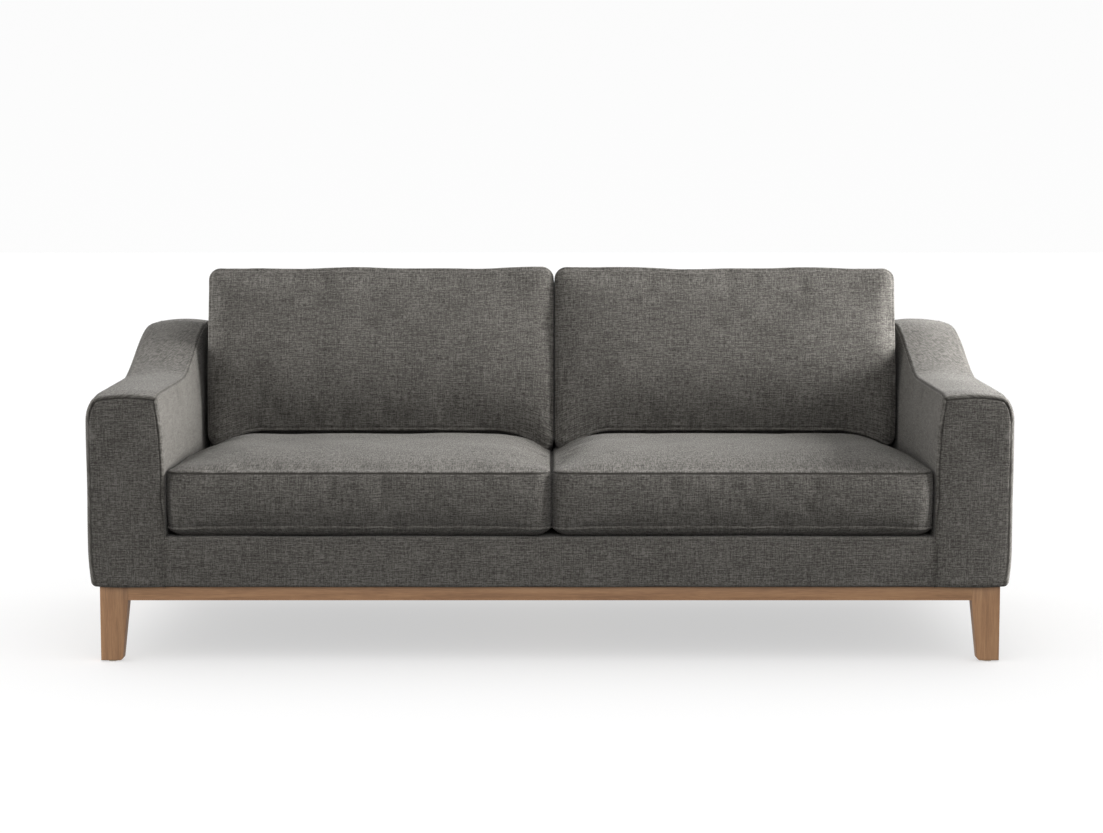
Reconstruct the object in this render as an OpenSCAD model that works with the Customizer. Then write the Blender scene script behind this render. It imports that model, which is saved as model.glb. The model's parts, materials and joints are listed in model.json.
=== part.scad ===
// Two-seat sofa with sloped arms on a tapered-leg wooden plinth.
// X runs from the left arm to the right arm, Y from front to back, Z up.
// The origin is on the floor, below the centre of the sofa's outline.

/* [Overall] */
// Width over both arms
sofa_w = 2100; // [1800:10:2300]
// Depth from the arm fronts to the outside back
sofa_d = 920; // [900:10:960]
// Height of the back cushions' top corner
sofa_h = 880; // [860:10:920]

/* [Plinth and legs] */
// Floor to the underside of the plinth rails
leg_clear = 142; // [120:1:170]
// Height of the plinth rails
rail_h = 31; // [28:1:40]
// Depth of the plinth rails, and of a leg at its top
rail_t = 38; // [36:1:44]
// Width of a leg where it meets the rail
leg_w = 64; // [60:1:80]
// Width of a leg at the floor
foot_w = 50; // [44:1:56]
// Depth of a leg at the floor
foot_t = 28; // [26:1:34]
// Radius of the foot's inner corner
foot_r = 8; // [4:1:12]
// How far the plinth stands in from the arm sides
inset_side = 24; // [20:1:30]
// How far the plinth stands in from the front and the back
inset_front = 12; // [10:1:14]

/* [Arms] */
// Width of an arm
arm_w = 170; // [160:5:200]
// Height of an arm at its front
arm_front_h = 611; // [590:1:630]
// Height of an arm at the back
arm_back_h = 732; // [700:1:740]
// Gentle rise of the arm before its slope
arm_fall = 8; // [0:1:12]
// Depth at which the slope starts
slope_from = 400; // [360:10:440]
// Depth at which the slope ends
slope_to = 800; // [760:10:820]

/* [Seat and back] */
// Height of the seat deck, where the cushions lie
deck_h = 289; // [280:1:310]
// Height of the fixed back
back_h = 735; // [700:1:745]
// Backward lean of the back, in degrees
lean = 12; // [8:1:14]
// Depth of the inside back at deck level
back_from = 704; // [690:1:710]

/* [Cushions] */
// Thickness of a seat cushion at its seams
seat_t = 144; // [120:2:150]
// Crown of a seat cushion above its top seam
seat_crown = 33; // [20:1:34]
// Depth of a seat cushion
seat_l = 700; // [660:5:700]
// Thickness of a back cushion at its seams
back_t = 163; // [140:1:165]
// Crown of a back cushion in front of its front seam
back_crown = 22; // [10:1:30]

/* [Hidden] */

skin = 2;              // upholstery fabric with its lining
foam = 22;             // foam sheet on the arms and the back's top
back_foam = 30;        // foam sheet on the inside back
border_foam = 10;      // foam sheet on the front border
border_in = 2;         // front border set behind the arm fronts
board = 26;            // timber of the seat frame
ply = 9;               // plywood panels of the arms
hardboard = 4;         // outside back panel
strap = 2;             // elastic webbing
gap = 0.5;             // play between a loose cushion and what it rests on
side_gap = 3;          // play between a cushion and its neighbours
front = -sofa_d / 2;
rear = sofa_d / 2;
half_w = sofa_w / 2;
inner = half_w - arm_w;                 // arm's inner face
base = leg_clear + rail_h;              // underside of the upholstered body
frame_z = base + skin;                  // underside of the timber frame
pad_t = 8;                              // felt under the deck cloth
frame_top = deck_h - skin - pad_t - 2 * strap;   // top of the seat rails, under the webbing
glide_h = 3;
glide_r = 10;
dowel_r = 4;
dowel_l = 40;
bolt_r = 4;
bolt_l = 62;
hole_play = 0.05;      // radial play of a glued dowel or insert
bolt_play = 0.4;       // radial play of a bolt in its hole
head_r = 6.5;
head_h = 5;
sink_r = 10;           // counterbore for a bolt head
sink_h = 8;
insert_r = 6;
insert_l = 20;
screw_r = 2.5;
screw_l = 45;
screw_head_r = 4.5;
screw_head_h = 3;
hex_r = 2.9;           // hexagon socket in a bolt head
hex_h = 4;
over = 1;              // overrun of a cutting shape
block = 80;            // leg of a triangular corner block
block_up = 3;          // a corner block's height over the rails' underside
block_screw = 0.375;   // where its screw stands, as a share of its leg
plinth_x = half_w - inset_side;         // plinth's outer side
plinth_y = sofa_d / 2 - inset_front;    // plinth's outer front and back
board_y0 = front + border_in + skin + border_foam;   // front face of the seat frame
board_y1 = rear - skin - hardboard;                  // rear face of the seat frame
zip_l = 716;           // length of a cushion's zip
zip_h = 40;            // height of the pocket that holds the zip
zip_d = 8;             // depth of that pocket
tooth_y = -8;          // the teeth's line, from the pocket's middle
slider_l = 12;
slider_w = 9;
slider_h = 2;
slider_in = 14;        // the slider's distance from the end of the zip
tape_t = 1.5;          // zip tape
teeth_w = 5;
teeth_h = 1.8;
teeth_in = 2;          // tape beyond the teeth at each end
bridge = [3, 4, 1.2];  // between the slider and its pull tab
tab = [6, 26, 1];      // pull tab
slider_play = 0.3;     // between the teeth and the slider

function smooth(u) = let (c = max(0, min(1, u))) c * c * (3 - 2 * c);

// Height of the arm's top at a depth t behind the arm's front
function arm_top(t) = arm_front_h + arm_fall * min(t, slope_from) / slope_from
    + (arm_back_h - arm_front_h - arm_fall) * smooth((t - slope_from) / (slope_to - slope_from));

// The arm's top edge as [y, z] points, lowered by inset
function arm_edge(inset, steps = 20) = concat(
    [[front + inset, arm_top(inset) - inset]],
    [for (i = [0 : steps]) let (t = slope_from + (slope_to - slope_from) * i / steps)
        [front + t, arm_top(t) - inset]],
    [[rear - inset, arm_back_h - inset]]);

function arm_outline(inset, bottom) = concat(
    [[front + inset, bottom]], arm_edge(inset), [[rear - inset, bottom]]);

function reversed(list) = [for (i = [len(list) - 1 : -1 : 0]) list[i]];

// Y of the inside back's face at height z
function inside_y(z) = front + back_from + (z - deck_h) * tan(lean);

module block_between(lo, hi) translate(lo) cube(hi - lo);

// A [y, z] outline extruded from x0 to x1
module side_prism(x0, x1, outline)
    translate([x0, 0, 0]) rotate([90, 0, 90]) linear_extrude(x1 - x0) polygon(outline);

module left() mirror([1, 0, 0]) children();

module both_sides() {
    children();
    left() children();
}

// ---- Plinth: legs, rails and what holds them ----

rail_z = leg_clear + rail_h / 2;
dowel_step = rail_t / 4;
// Middle of a plinth rail's depth, and X of the side rails' middle
rail_mid_y = plinth_y - rail_t / 2;
rail_mid_x = plinth_x - rail_t / 2;
// Bolts through the front and rear rails, and through the side rails
bolt_xs = [for (k = [-1.5 : 1 : 1.5]) k * (inner / 2)];
bolt_front_y = board_y0 + board / 2;
insert_edge = 2;       // timber left beside an insert
bolt_rear_y = board_y1 - board + insert_r + insert_edge;
bolt_side_x = half_w - skin - foam - ply - insert_r - 4 * insert_edge;
bolt_side_ys = [-sofa_d / 5, sofa_d / 5];
screw_x = plinth_x - rail_t - block * block_screw;
screw_y = plinth_y - rail_t - block * block_screw;
bolt_room = 4;         // depth of a bolt's hole beyond its end
through = 40;          // overrun of a hole through a rail

// The eight dowels of the front and rear rails, then those of the side rails and the cross rail
module dowels(r, l) {
    for (sx = [-1, 1], sy = [-1, 1], k = [-1, 1]) {
        translate([sx * (plinth_x - leg_w), sy * rail_mid_y + k * dowel_step, rail_z])
            rotate([0, 90, 0]) cylinder(r = r, h = l, center = true, $fn = 32);
        translate([sx * rail_mid_x + k * dowel_step, sy * (plinth_y - rail_t), rail_z])
            rotate([90, 0, 0]) cylinder(r = r, h = l, center = true, $fn = 32);
        translate([k * dowel_step, sy * (plinth_y - rail_t), rail_z])
            rotate([90, 0, 0]) cylinder(r = r, h = l, center = true, $fn = 32);
    }
}

module at_bolts() {
    for (x = bolt_xs) {
        translate([x, bolt_front_y, 0]) children();
        translate([x, bolt_rear_y, 0]) children();
    }
    for (sx = [-1, 1], y = bolt_side_ys) translate([sx * bolt_side_x, y, 0]) children();
}

module at_screws() for (sx = [-1, 1], sy = [-1, 1])
    translate([sx * screw_x, sy * screw_y, 0]) children();

module bolt_holes() at_bolts() {
    translate([0, 0, leg_clear - over])
        cylinder(r = bolt_r + bolt_play, h = bolt_l + through, $fn = 32);
    translate([0, 0, leg_clear - over]) cylinder(r = sink_r, h = sink_h + over, $fn = 48);
}

module shank_holes() at_bolts()
    translate([0, 0, leg_clear + sink_h])
        cylinder(r = bolt_r + bolt_play, h = bolt_l + bolt_room, $fn = 32);

module insert_holes() at_bolts()
    translate([0, 0, frame_z - over]) cylinder(r = insert_r + hole_play, h = insert_l + over, $fn = 32);

module screw_holes() at_screws()
    translate([0, 0, leg_clear - over])
        cylinder(r = screw_r + hole_play, h = screw_l + rail_h, $fn = 24);

// The front right leg; its outer and front faces are upright, its inner and rear faces taper
module leg_blank() {
    taper = leg_w - foot_w;
    intersection() {
        rotate([90, 0, 0]) translate([0, 0, -sofa_d / 2]) linear_extrude(sofa_d) difference() {
            polygon([[plinth_x, glide_h], [plinth_x, base], [plinth_x - leg_w, base],
                [plinth_x - leg_w, leg_clear], [plinth_x - leg_w + taper, glide_h]]);
            translate([plinth_x - foot_w, glide_h]) difference() {
                translate([-foot_r, -over]) square([2 * foot_r, foot_r + over]);
                translate([foot_r, foot_r]) circle(r = foot_r, $fn = 48);
                translate([foot_r, -over]) square([foot_r, foot_r + over]);
            }
        }
        side_prism(plinth_x - leg_w - over, plinth_x + over, [
            [-plinth_y, glide_h], [-plinth_y, base], [-plinth_y + rail_t, base],
            [-plinth_y + rail_t, leg_clear], [-plinth_y + foot_t, glide_h]]);
    }
}

module leg(sx, sy) color("#b08560") difference() {
    to_corner(sx, sy) leg_blank();
    dowels(dowel_r + hole_play, dowel_l + over);
}

// Mirrors a front right piece to another corner
module to_corner(sx, sy) mirror([sx < 0 ? 1 : 0, 0, 0]) mirror([0, sy > 0 ? 1 : 0, 0]) children();

module end_rail(sy) color("#a87c58") difference() {
    translate([0, sy * rail_mid_y, rail_z])
        cube([2 * (plinth_x - leg_w), rail_t, rail_h], center = true);
    dowels(dowel_r + hole_play, dowel_l + over);
    bolt_holes();
}

module side_rail() color("#a87c58") difference() {
    translate([rail_mid_x, 0, rail_z])
        cube([rail_t, 2 * (plinth_y - rail_t), rail_h], center = true);
    dowels(dowel_r + hole_play, dowel_l + over);
    bolt_holes();
}

module plinth_cross_rail() color("#a87c58") difference() {
    translate([0, 0, rail_z]) cube([rail_t, 2 * (plinth_y - rail_t), rail_h], center = true);
    dowels(dowel_r + hole_play, dowel_l + over);
}

module plinth_corner_blocks() color("#c9a27a") difference() {
    for (sx = [-1, 1], sy = [-1, 1]) to_corner(sx, sy)
        translate([plinth_x - rail_t, -plinth_y + rail_t, leg_clear + block_up])
            linear_extrude(rail_h - block_up - over) polygon([[0, 0], [-block, 0], [0, block]]);
    screw_holes();
}

module plinth_dowels() color("#d8b98f") dowels(dowel_r, dowel_l);

module plinth_bolts() color("#9a9a9a") at_bolts() difference() {
    union() {
        translate([0, 0, leg_clear + sink_h]) cylinder(r = bolt_r, h = bolt_l, $fn = 32);
        translate([0, 0, leg_clear + sink_h - head_h]) cylinder(r = head_r, h = head_h, $fn = 48);
    }
    translate([0, 0, leg_clear + sink_h - head_h - over]) cylinder(r = hex_r, h = hex_h, $fn = 6);
}

module plinth_inserts() color("#c9a94f") at_bolts() translate([0, 0, frame_z]) difference() {
    cylinder(r = insert_r, h = insert_l - over, $fn = 32);
    translate([0, 0, -over]) cylinder(r = bolt_r + hole_play, h = insert_l + over, $fn = 32);
}

module corner_screws() color("#9a9a9a") at_screws() translate([0, 0, leg_clear]) {
    translate([0, 0, over]) cylinder(r = screw_r, h = screw_l, $fn = 24);
    cylinder(r = screw_head_r, h = screw_head_h, $fn = 24);
}

module leg_glides() color("#d9d4c8") for (sx = [-1, 1], sy = [-1, 1])
    translate([sx * (plinth_x - foot_w / 2), sy * (plinth_y - foot_t / 2), 0])
        cylinder(r = glide_r, h = glide_h, $fn = 48);

// ---- Seat frame, webbing and deck ----

rail_play = 2;                    // between a rail's end and the arm's inner face
seat_half = inner - rail_play;    // half the length of the seat's front and rear rails
deck_play = 1;                    // between the deck's sides and the arms
deck_short = 2;                   // between the deck's rear edge and the inside back
strap_in = 4;                     // an elastic strap's end, from the edge it is stapled to
strap_w = 70;                     // long straps
cross_w = 60;                     // cross straps, and those of the back
centre_drop = 20;                 // the centre rail's top, below the straps
side_x1 = inner + skin + foam;    // arm's inner panel, which the side rails are screwed to

module seat_end_rail(y0) color("#d2b48c") difference() {
    block_between([-seat_half, y0, frame_z], [seat_half, y0 + board, frame_top]);
    insert_holes();
    shank_holes();
}

module seat_side_rails() color("#d2b48c") both_sides()
    block_between([seat_half, board_y0, frame_z], [side_x1, board_y1, frame_top]);

module seat_centre_rail() color("#d2b48c")
    block_between([-board / 2, board_y0 + board, frame_z],
        [board / 2, board_y1 - board, frame_top - centre_drop]);

module seat_webbing_long() color("#4a4642") {
    count = 10;
    pitch = 2 * seat_half / count;
    for (i = [0 : count - 1]) translate([-seat_half + (i + 0.5) * pitch, 0, frame_top])
        block_between([-strap_w / 2, board_y0 + strap_in, 0],
            [strap_w / 2, board_y1 - strap_in, strap]);
}

module seat_webbing_cross() color("#57524d")
    for (i = [1 : 4]) translate([0, front + i * back_from / 5, frame_top + strap])
        block_between([-side_x1 + strap_in, -cross_w / 2, 0], [side_x1 - strap_in, cross_w / 2, strap]);

pad_z = frame_top + 2 * strap;

module seat_deck_pad() color("#d8d4cc")
    block_between([-inner + deck_play, board_y0, pad_z],
        [inner - deck_play, front + back_from - deck_short, deck_h - skin]);

border_wrap = 88;   // how far the border's cover runs back over the deck
hem_front = 38;     // how far a cover turns in under the front
hem_rear = 8;       // and under the back
dust_play = 2;      // between the dust cloth and the hems

module deck_cloth() color("#3c3b3a")
    block_between([-inner + deck_play, front + border_in + border_wrap, deck_h - skin],
        [inner - deck_play, front + back_from - deck_short, deck_h]);

// ---- Front border ----

module front_border_padding() color("#e6dfc8")
    block_between([-inner + deck_play, front + border_in + skin, frame_z],
        [inner - deck_play, board_y0, deck_h - skin]);

module front_border_cover() color("#63605b") {
    y0 = front + border_in;
    difference() {
        side_prism(-inner, inner, [
            [y0, base], [y0, deck_h], [y0 + border_wrap, deck_h], [y0 + border_wrap, deck_h - skin],
            [y0 + skin, deck_h - skin], [y0 + skin, frame_z],
            [front + hem_front, frame_z], [front + hem_front, base]]);
        shank_holes();
    }
}

module dust_cover() color("#2b2b2c") difference() {
    block_between([-half_w + hem_side + dust_play, front + hem_front + dust_play, base],
        [half_w - hem_side - dust_play, rear - hem_rear, frame_z]);
    shank_holes();
    screw_holes();
}

// ---- Arms, drawn on the right ----

arm_x0 = inner + skin + foam;          // between the foam sheets
arm_x1 = half_w - skin - foam;
arm_in = skin + foam;                  // inset of the timber from the arm's outline
hem_side = 24;                         // how far an arm's cover turns in under its side
top_board = 12;
post_t = 30;
bottom_rail_h = 30;
post_play = 0.2;                       // between a post and the top board
sheet_play = 0.2;                      // between the arm's foam sheets

module arm_panels() color("#c8a878") {
    side_prism(arm_x0, arm_x0 + ply, arm_outline(arm_in, frame_z));
    side_prism(arm_x1 - ply, arm_x1, arm_outline(arm_in, frame_z));
}

module arm_top_board() color("#c8a878")
    side_prism(arm_x0 + ply, arm_x1 - ply,
        concat(arm_edge(arm_in), reversed(arm_edge_cut(arm_in, arm_in + top_board))));

// The top edge lowered further, but as long as the edge at inset
function arm_edge_cut(inset, drop) = [for (p = arm_edge(inset)) [p[0], p[1] - (drop - inset)]];

module arm_posts() color("#d2b48c") {
    for (t = [arm_in, (slope_from + slope_to) / 2, sofa_d - arm_in - post_t])
        side_prism(arm_x0 + ply, arm_x1 - ply, [
            [front + t, frame_z], [front + t, arm_top(t) - arm_in - top_board - post_play],
            [front + t + post_t, arm_top(t) - arm_in - top_board - post_play],
            [front + t + post_t, frame_z]]);
}

module arm_bottom_rail() color("#d2b48c") difference() {
    for (span = [[arm_in + post_t, (slope_from + slope_to) / 2],
            [(slope_from + slope_to) / 2 + post_t, sofa_d - arm_in - post_t]])
        block_between([arm_x0 + ply, front + span[0], frame_z],
            [arm_x1 - ply, front + span[1], frame_z + bottom_rail_h]);
    insert_holes();
    shank_holes();
    screw_holes();
}

// Five foam sheets: outer side, inner side, top, front and rear
module arm_padding() color("#e6dfc8") {
    x0 = arm_x0 + sheet_play;
    x1 = arm_x1 - sheet_play;
    side_prism(arm_x1, arm_x1 + foam, arm_outline(skin, frame_z));
    side_prism(arm_x0 - foam, arm_x0, arm_outline(skin, deck_h));
    side_prism(x0, x1, concat(arm_edge(skin), reversed(arm_edge_cut(skin, arm_in))));
    block_between([x0, front + skin, frame_z], [x1, front + arm_in, arm_front_h - arm_in - sheet_play]);
    block_between([x0, rear - arm_in, frame_z], [x1, rear - skin, arm_back_h - arm_in - sheet_play]);
}

// The cover turns in under the arm as a hem, and its inner side stops below the seat deck
module arm_cover() color("#63605b") {
    difference() {
        side_prism(inner, half_w, arm_outline(0, base));
        side_prism(inner + skin, half_w - skin, arm_outline(skin, base - over));
        block_between([inner - over, front + skin, base - over], [side_x1, rear - skin, pad_z + over]);
    }
    difference() {
        block_between([inner, front + skin, base], [half_w - skin, rear - skin, frame_z]);
        block_between([inner - over, front + hem_front, base - over],
            [half_w - hem_side, rear - hem_rear, frame_z + over]);
    }
}

// ---- Fixed back ----

function back_band(from, to, z0, z1) = [[inside_y(z0) + from, z0], [inside_y(z1) + from, z1],
    [inside_y(z1) + to, z1], [inside_y(z0) + to, z0]];

back_in = skin + back_foam;      // inset of the back's timber from its inside face
top_z = back_h - skin - foam;    // top of the back's timber
lower_h = 40;                    // height of the back's lower rail
back_strap_from = 60;            // lowest strap of the back, over the deck
back_strap_pitch = 85;
panel_in = 2;                    // the back's panel and padding, from the arms
cover_in = 0.5;                  // the back's cover, from the arms
strap_play = 0.2;                // between the back's webbing and what it touches

module back_uprights() color("#d2b48c") {
    z1 = deck_h + lower_h;
    z2 = top_z - board;
    for (x = [-seat_half, -board / 2, seat_half - board]) side_prism(x, x + board, [
        [board_y1 - board, frame_top], [board_y1 - board, z1], [inside_y(z1) + back_in + strap, z1],
        [inside_y(z2) + back_in + strap, z2], [board_y1, z2], [board_y1, frame_top]]);
}

module back_rails() color("#d2b48c") {
    y0 = back_in + strap;
    z0 = top_z - board;
    side_prism(-seat_half, seat_half, [[inside_y(z0) + y0, z0], [inside_y(top_z) + y0, top_z],
        [board_y1, top_z], [board_y1, z0]]);
    side_prism(-seat_half, seat_half, back_band(y0, y0 + board, deck_h, deck_h + lower_h));
}

module back_webbing() color("#4a4642") for (i = [0 : 3]) {
    z0 = deck_h + back_strap_from + i * back_strap_pitch;
    side_prism(-seat_half + strap_in, seat_half - strap_in,
        back_band(back_in + strap_play, back_in + strap - strap_play, z0, z0 + cross_w));
}

module back_outer_panel() color("#8a6f4f")
    block_between([-inner + panel_in, board_y1, frame_z],
        [inner - panel_in, rear - skin, back_h - skin]);

module back_padding() color("#e6dfc8") {
    side_prism(-inner + panel_in, inner - panel_in, back_band(skin, back_in, deck_h, top_z));
    side_prism(-inner + panel_in, inner - panel_in, [[inside_y(top_z) + skin, top_z],
        [inside_y(back_h - skin) + skin, back_h - skin], [board_y1, back_h - skin], [board_y1, top_z]]);
}

module back_cover() color("#63605b") side_prism(-inner + cover_in, inner - cover_in, [
    [inside_y(deck_h), deck_h], [inside_y(back_h), back_h], [rear, back_h], [rear, base],
    [rear - skin, base], [rear - skin, back_h - skin], [inside_y(back_h - skin) + skin, back_h - skin],
    [inside_y(deck_h) + skin, deck_h]]);

// ---- Zips: X along the teeth, Z out of the cushion, the pocket centred on the origin ----

module zip_pocket() translate([-zip_l / 2, -zip_h / 2, -zip_d]) cube([zip_l, zip_h, zip_d + over]);

module zip() {
    translate([-zip_l / 2, -zip_h / 2, -zip_d]) cube([zip_l, zip_h, tape_t]);
    translate([-zip_l / 2 + teeth_in, tooth_y - teeth_w / 2, -zip_d + tape_t])
        cube([zip_l - 2 * teeth_in, teeth_w, teeth_h]);
}

slider_z = -zip_d + tape_t + teeth_h + slider_play;

// The slider stands at the left end of the teeth, with its pull tab hanging from a bridge
module zip_slider() translate([-zip_l / 2 + slider_in, tooth_y, slider_z]) {
    translate([-slider_l / 2, -slider_w / 2, 0]) cube([slider_l, slider_w, slider_h]);
    translate([-bridge[0] / 2, -bridge[1] / 2, slider_h]) cube(bridge);
    translate([-tab[0] / 2, -bridge[1] / 2, slider_h + bridge[2]]) cube(tab);
}

// ---- Cushions, drawn on the right ----

cushion_x0 = side_gap - 1;   // inner side, next to the other cushion
cushion_x1 = inner - side_gap;
corner_r = 40;
seat_z0 = deck_h + gap;
seat_z1 = seat_z0 + seat_t;
crown_in = 150;             // how far the crown's flat top stands in from the seams
back_crown_in = 110;        // the same, from the top and bottom of a back cushion
zip_x = (cushion_x0 + cushion_x1) / 2;

// Four upright round corners of a cushion, less a wall
module corners(x0, x1, y0, y1, z0, z1, r) for (x = [x0 + r, x1 - r], y = [y0 + r, y1 - r])
    translate([x, y, z0]) cylinder(r = r, h = z1 - z0, $fn = 32);

module seat_body(wall) hull() {
    corners(cushion_x0 + wall, cushion_x1 - wall, front + wall, front + seat_l - wall,
        seat_z0 + wall, seat_z1 - wall, corner_r);
    block_between([cushion_x0 + crown_in, front + crown_in, seat_z1],
        [cushion_x1 - crown_in, front + seat_l - crown_in, seat_z1 + seat_crown - wall]);
}

module seat_zip_frame()
    translate([zip_x, front + seat_l, seat_z0 + seat_t / 2]) rotate([-90, 0, 0]) children();

module seat_cover() color("#63605b") difference() {
    seat_body(0);
    seat_body(skin);
    seat_zip_frame() zip_pocket();
}

module seat_core() color("#e6dfc8") difference() {
    seat_body(skin);
    seat_zip_frame() zip_pocket();
}

// A leaning frame with its origin at the back cushion's lower front edge
back_z0 = seat_z1 + seat_crown - gap;
back_y0 = inside_y(back_z0) - gap - back_t / cos(lean);
back_l = (sofa_h - back_z0) / cos(lean);
module lean_frame() translate([0, back_y0, back_z0]) rotate([-lean, 0, 0]) children();

module back_body(wall) hull() {
    rotate([90, 0, 0]) translate([0, 0, -back_t + wall])
        corners(cushion_x0 + wall, cushion_x1 - wall, wall, back_l - wall,
            0, back_t - 2 * wall, corner_r);
    block_between([cushion_x0 + crown_in, -back_crown + wall, back_crown_in],
        [cushion_x1 - crown_in, 0, back_l - back_crown_in]);
}

module back_zip_frame() lean_frame() translate([zip_x, back_t / 2, 0]) rotate([180, 0, 0]) children();

module back_cushion_cover() color("#63605b") difference() {
    lean_frame() difference() {
        back_body(0);
        back_body(skin);
    }
    back_zip_frame() zip_pocket();
}

module back_cushion_core() color("#e6dfc8") difference() {
    lean_frame() back_body(skin);
    back_zip_frame() zip_pocket();
}

module seat_zip() color("#55524e") seat_zip_frame() zip();
module back_zip() color("#55524e") back_zip_frame() zip();
module seat_zip_slider() color("#8d8a84") seat_zip_frame() zip_slider();
module back_zip_slider() color("#8d8a84") back_zip_frame() zip_slider();

// ---- Nodes ----

leg(-1, -1);  // leg_front_left
leg(1, -1);  // leg_front_right
leg(-1, 1);  // leg_rear_left
leg(1, 1);  // leg_rear_right
end_rail(-1);  // plinth_front_rail
end_rail(1);  // plinth_rear_rail
left() side_rail();  // plinth_side_rail_left
side_rail();  // plinth_side_rail_right
plinth_cross_rail();
plinth_corner_blocks();
plinth_dowels();
plinth_bolts();
plinth_inserts();
corner_screws();
leg_glides();
seat_end_rail(board_y0);  // seat_front_rail
seat_end_rail(board_y1 - board);  // seat_rear_rail
seat_side_rails();
seat_centre_rail();
seat_webbing_long();
seat_webbing_cross();
seat_deck_pad();
deck_cloth();
left() arm_panels();  // arm_panels_left
arm_panels();  // arm_panels_right
left() arm_posts();  // arm_posts_left
arm_posts();  // arm_posts_right
left() arm_top_board();  // arm_top_board_left
arm_top_board();  // arm_top_board_right
left() arm_bottom_rail();  // arm_bottom_rail_left
arm_bottom_rail();  // arm_bottom_rail_right
left() arm_padding();  // arm_padding_left
arm_padding();  // arm_padding_right
left() arm_cover();  // arm_cover_left
arm_cover();  // arm_cover_right
back_uprights();
back_rails();
back_webbing();
back_outer_panel();
back_padding();
back_cover();
front_border_padding();
front_border_cover();
dust_cover();
left() seat_cover();  // seat_cover_left
seat_cover();  // seat_cover_right
left() seat_core();  // seat_core_left
seat_core();  // seat_core_right
left() back_cushion_cover();  // back_cushion_cover_left
back_cushion_cover();  // back_cushion_cover_right
left() back_cushion_core();  // back_cushion_core_left
back_cushion_core();  // back_cushion_core_right
left() seat_zip();  // seat_zip_left
seat_zip();  // seat_zip_right
left() seat_zip_slider();  // seat_zip_slider_left
seat_zip_slider();  // seat_zip_slider_right
left() back_zip();  // back_zip_left
back_zip();  // back_zip_right
left() back_zip_slider();  // back_zip_slider_left
back_zip_slider();  // back_zip_slider_right
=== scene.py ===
"""Looks of an upholstered sofa with loose cushions, sloped arms and an oak plinth, around its frame."""
import json
import math

import bmesh
import bpy
import numpy as np
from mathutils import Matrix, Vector

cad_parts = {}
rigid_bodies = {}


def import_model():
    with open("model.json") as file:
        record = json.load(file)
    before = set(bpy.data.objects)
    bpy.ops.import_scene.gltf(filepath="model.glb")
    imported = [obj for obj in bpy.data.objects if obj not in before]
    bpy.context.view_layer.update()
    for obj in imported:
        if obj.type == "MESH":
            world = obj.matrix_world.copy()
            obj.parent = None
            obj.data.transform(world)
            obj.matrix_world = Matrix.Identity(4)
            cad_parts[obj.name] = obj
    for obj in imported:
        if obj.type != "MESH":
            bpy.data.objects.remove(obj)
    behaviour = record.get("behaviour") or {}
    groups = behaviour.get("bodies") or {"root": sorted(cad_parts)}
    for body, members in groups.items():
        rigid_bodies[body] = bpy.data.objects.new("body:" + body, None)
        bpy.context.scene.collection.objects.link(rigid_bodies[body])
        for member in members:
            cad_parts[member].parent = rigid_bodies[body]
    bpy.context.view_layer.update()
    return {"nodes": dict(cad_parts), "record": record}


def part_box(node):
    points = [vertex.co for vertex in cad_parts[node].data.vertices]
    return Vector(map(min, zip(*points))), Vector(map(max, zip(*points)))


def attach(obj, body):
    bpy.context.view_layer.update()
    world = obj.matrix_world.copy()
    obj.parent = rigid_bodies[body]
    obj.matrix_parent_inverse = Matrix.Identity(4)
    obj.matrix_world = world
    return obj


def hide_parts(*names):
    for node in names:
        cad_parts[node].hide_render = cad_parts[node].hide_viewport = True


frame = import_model()

# ---- Sizes, in metres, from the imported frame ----

SIDES = {"left": -1, "right": 1}
arm_low, arm_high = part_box("arm_cover_right")
FRONT, REAR = arm_low.y, arm_high.y
INNER, OUTER = arm_low.x, arm_high.x
BASE = arm_low.z  # underside of the upholstery
BACK_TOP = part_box("back_cover")[1].z
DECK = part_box("deck_cloth")[1].z
INSIDE_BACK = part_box("back_cover")[0].y  # inside back, at deck level
LIFT = next(j for j in frame["record"]["behaviour"]["joints"] if j["name"] == "back_cushion_right_lift")
LEAN = math.atan2(*LIFT["axis"][1:])  # of the back, from upright
UP_LEAN = np.array([0, math.sin(LEAN), math.cos(LEAN)])
OUT_LEAN = np.array([0, -math.cos(LEAN), math.sin(LEAN)])

# Arm
ARM_FRONT_H, ARM_BACK_H = 0.615, arm_high.z
ARM_NOSE, ARM_NOSE_RUN = 0.006, 0.07  # the top dips to its front seam
ARM_FALL = 0.008  # gentle rise before the slope
SLOPE_FROM, SLOPE_TO = 0.40, 0.80  # depths between which the arm slopes up
FLARE, FLARE_H = 0.0135, 0.16  # the inner face turns out towards its top
TUCK, TUCK_H = 0.007, 0.090  # the outer face turns in towards its bottom
ARM_CROWN = 0.005
INNER_R = 0.011  # radius of the arm's inner top edge
OUTER_R = 0.034, 0.022  # width of its rounded outer top edge, front and rear
OUTER_RISE = 0.056, 0.022  # height of that edge at the front and at the rear
FOOT_R = 0.013  # radius of its outer bottom edge
HEM_R = 0.008  # radius of the front and rear panels' bottom edge
OUTER_SEAM = 58  # angle of the outer top seam on its rounded corner
EDGE_R, REAR_R = 0.0105, 0.007  # radius of the front panel's outer edge and of the rear panel's
INNER_EDGE, INNER_EDGE_GAIN = 0.0015, 0.0070  # radius of its inner edge at the deck, and what it gains above
BOTTOM = BASE + 0.0012  # underside of the cloth
PROUD = 0.0012  # the fixed back's cloth stands off its hard board
BACK_TUCK = 0.0155  # how far its ends run in beside the arms
IN_SWELL, SWELL_FROM, SWELL_TO = 0.0065, 0.30, 0.55  # the arm's inner face, towards the seat cushion

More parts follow.
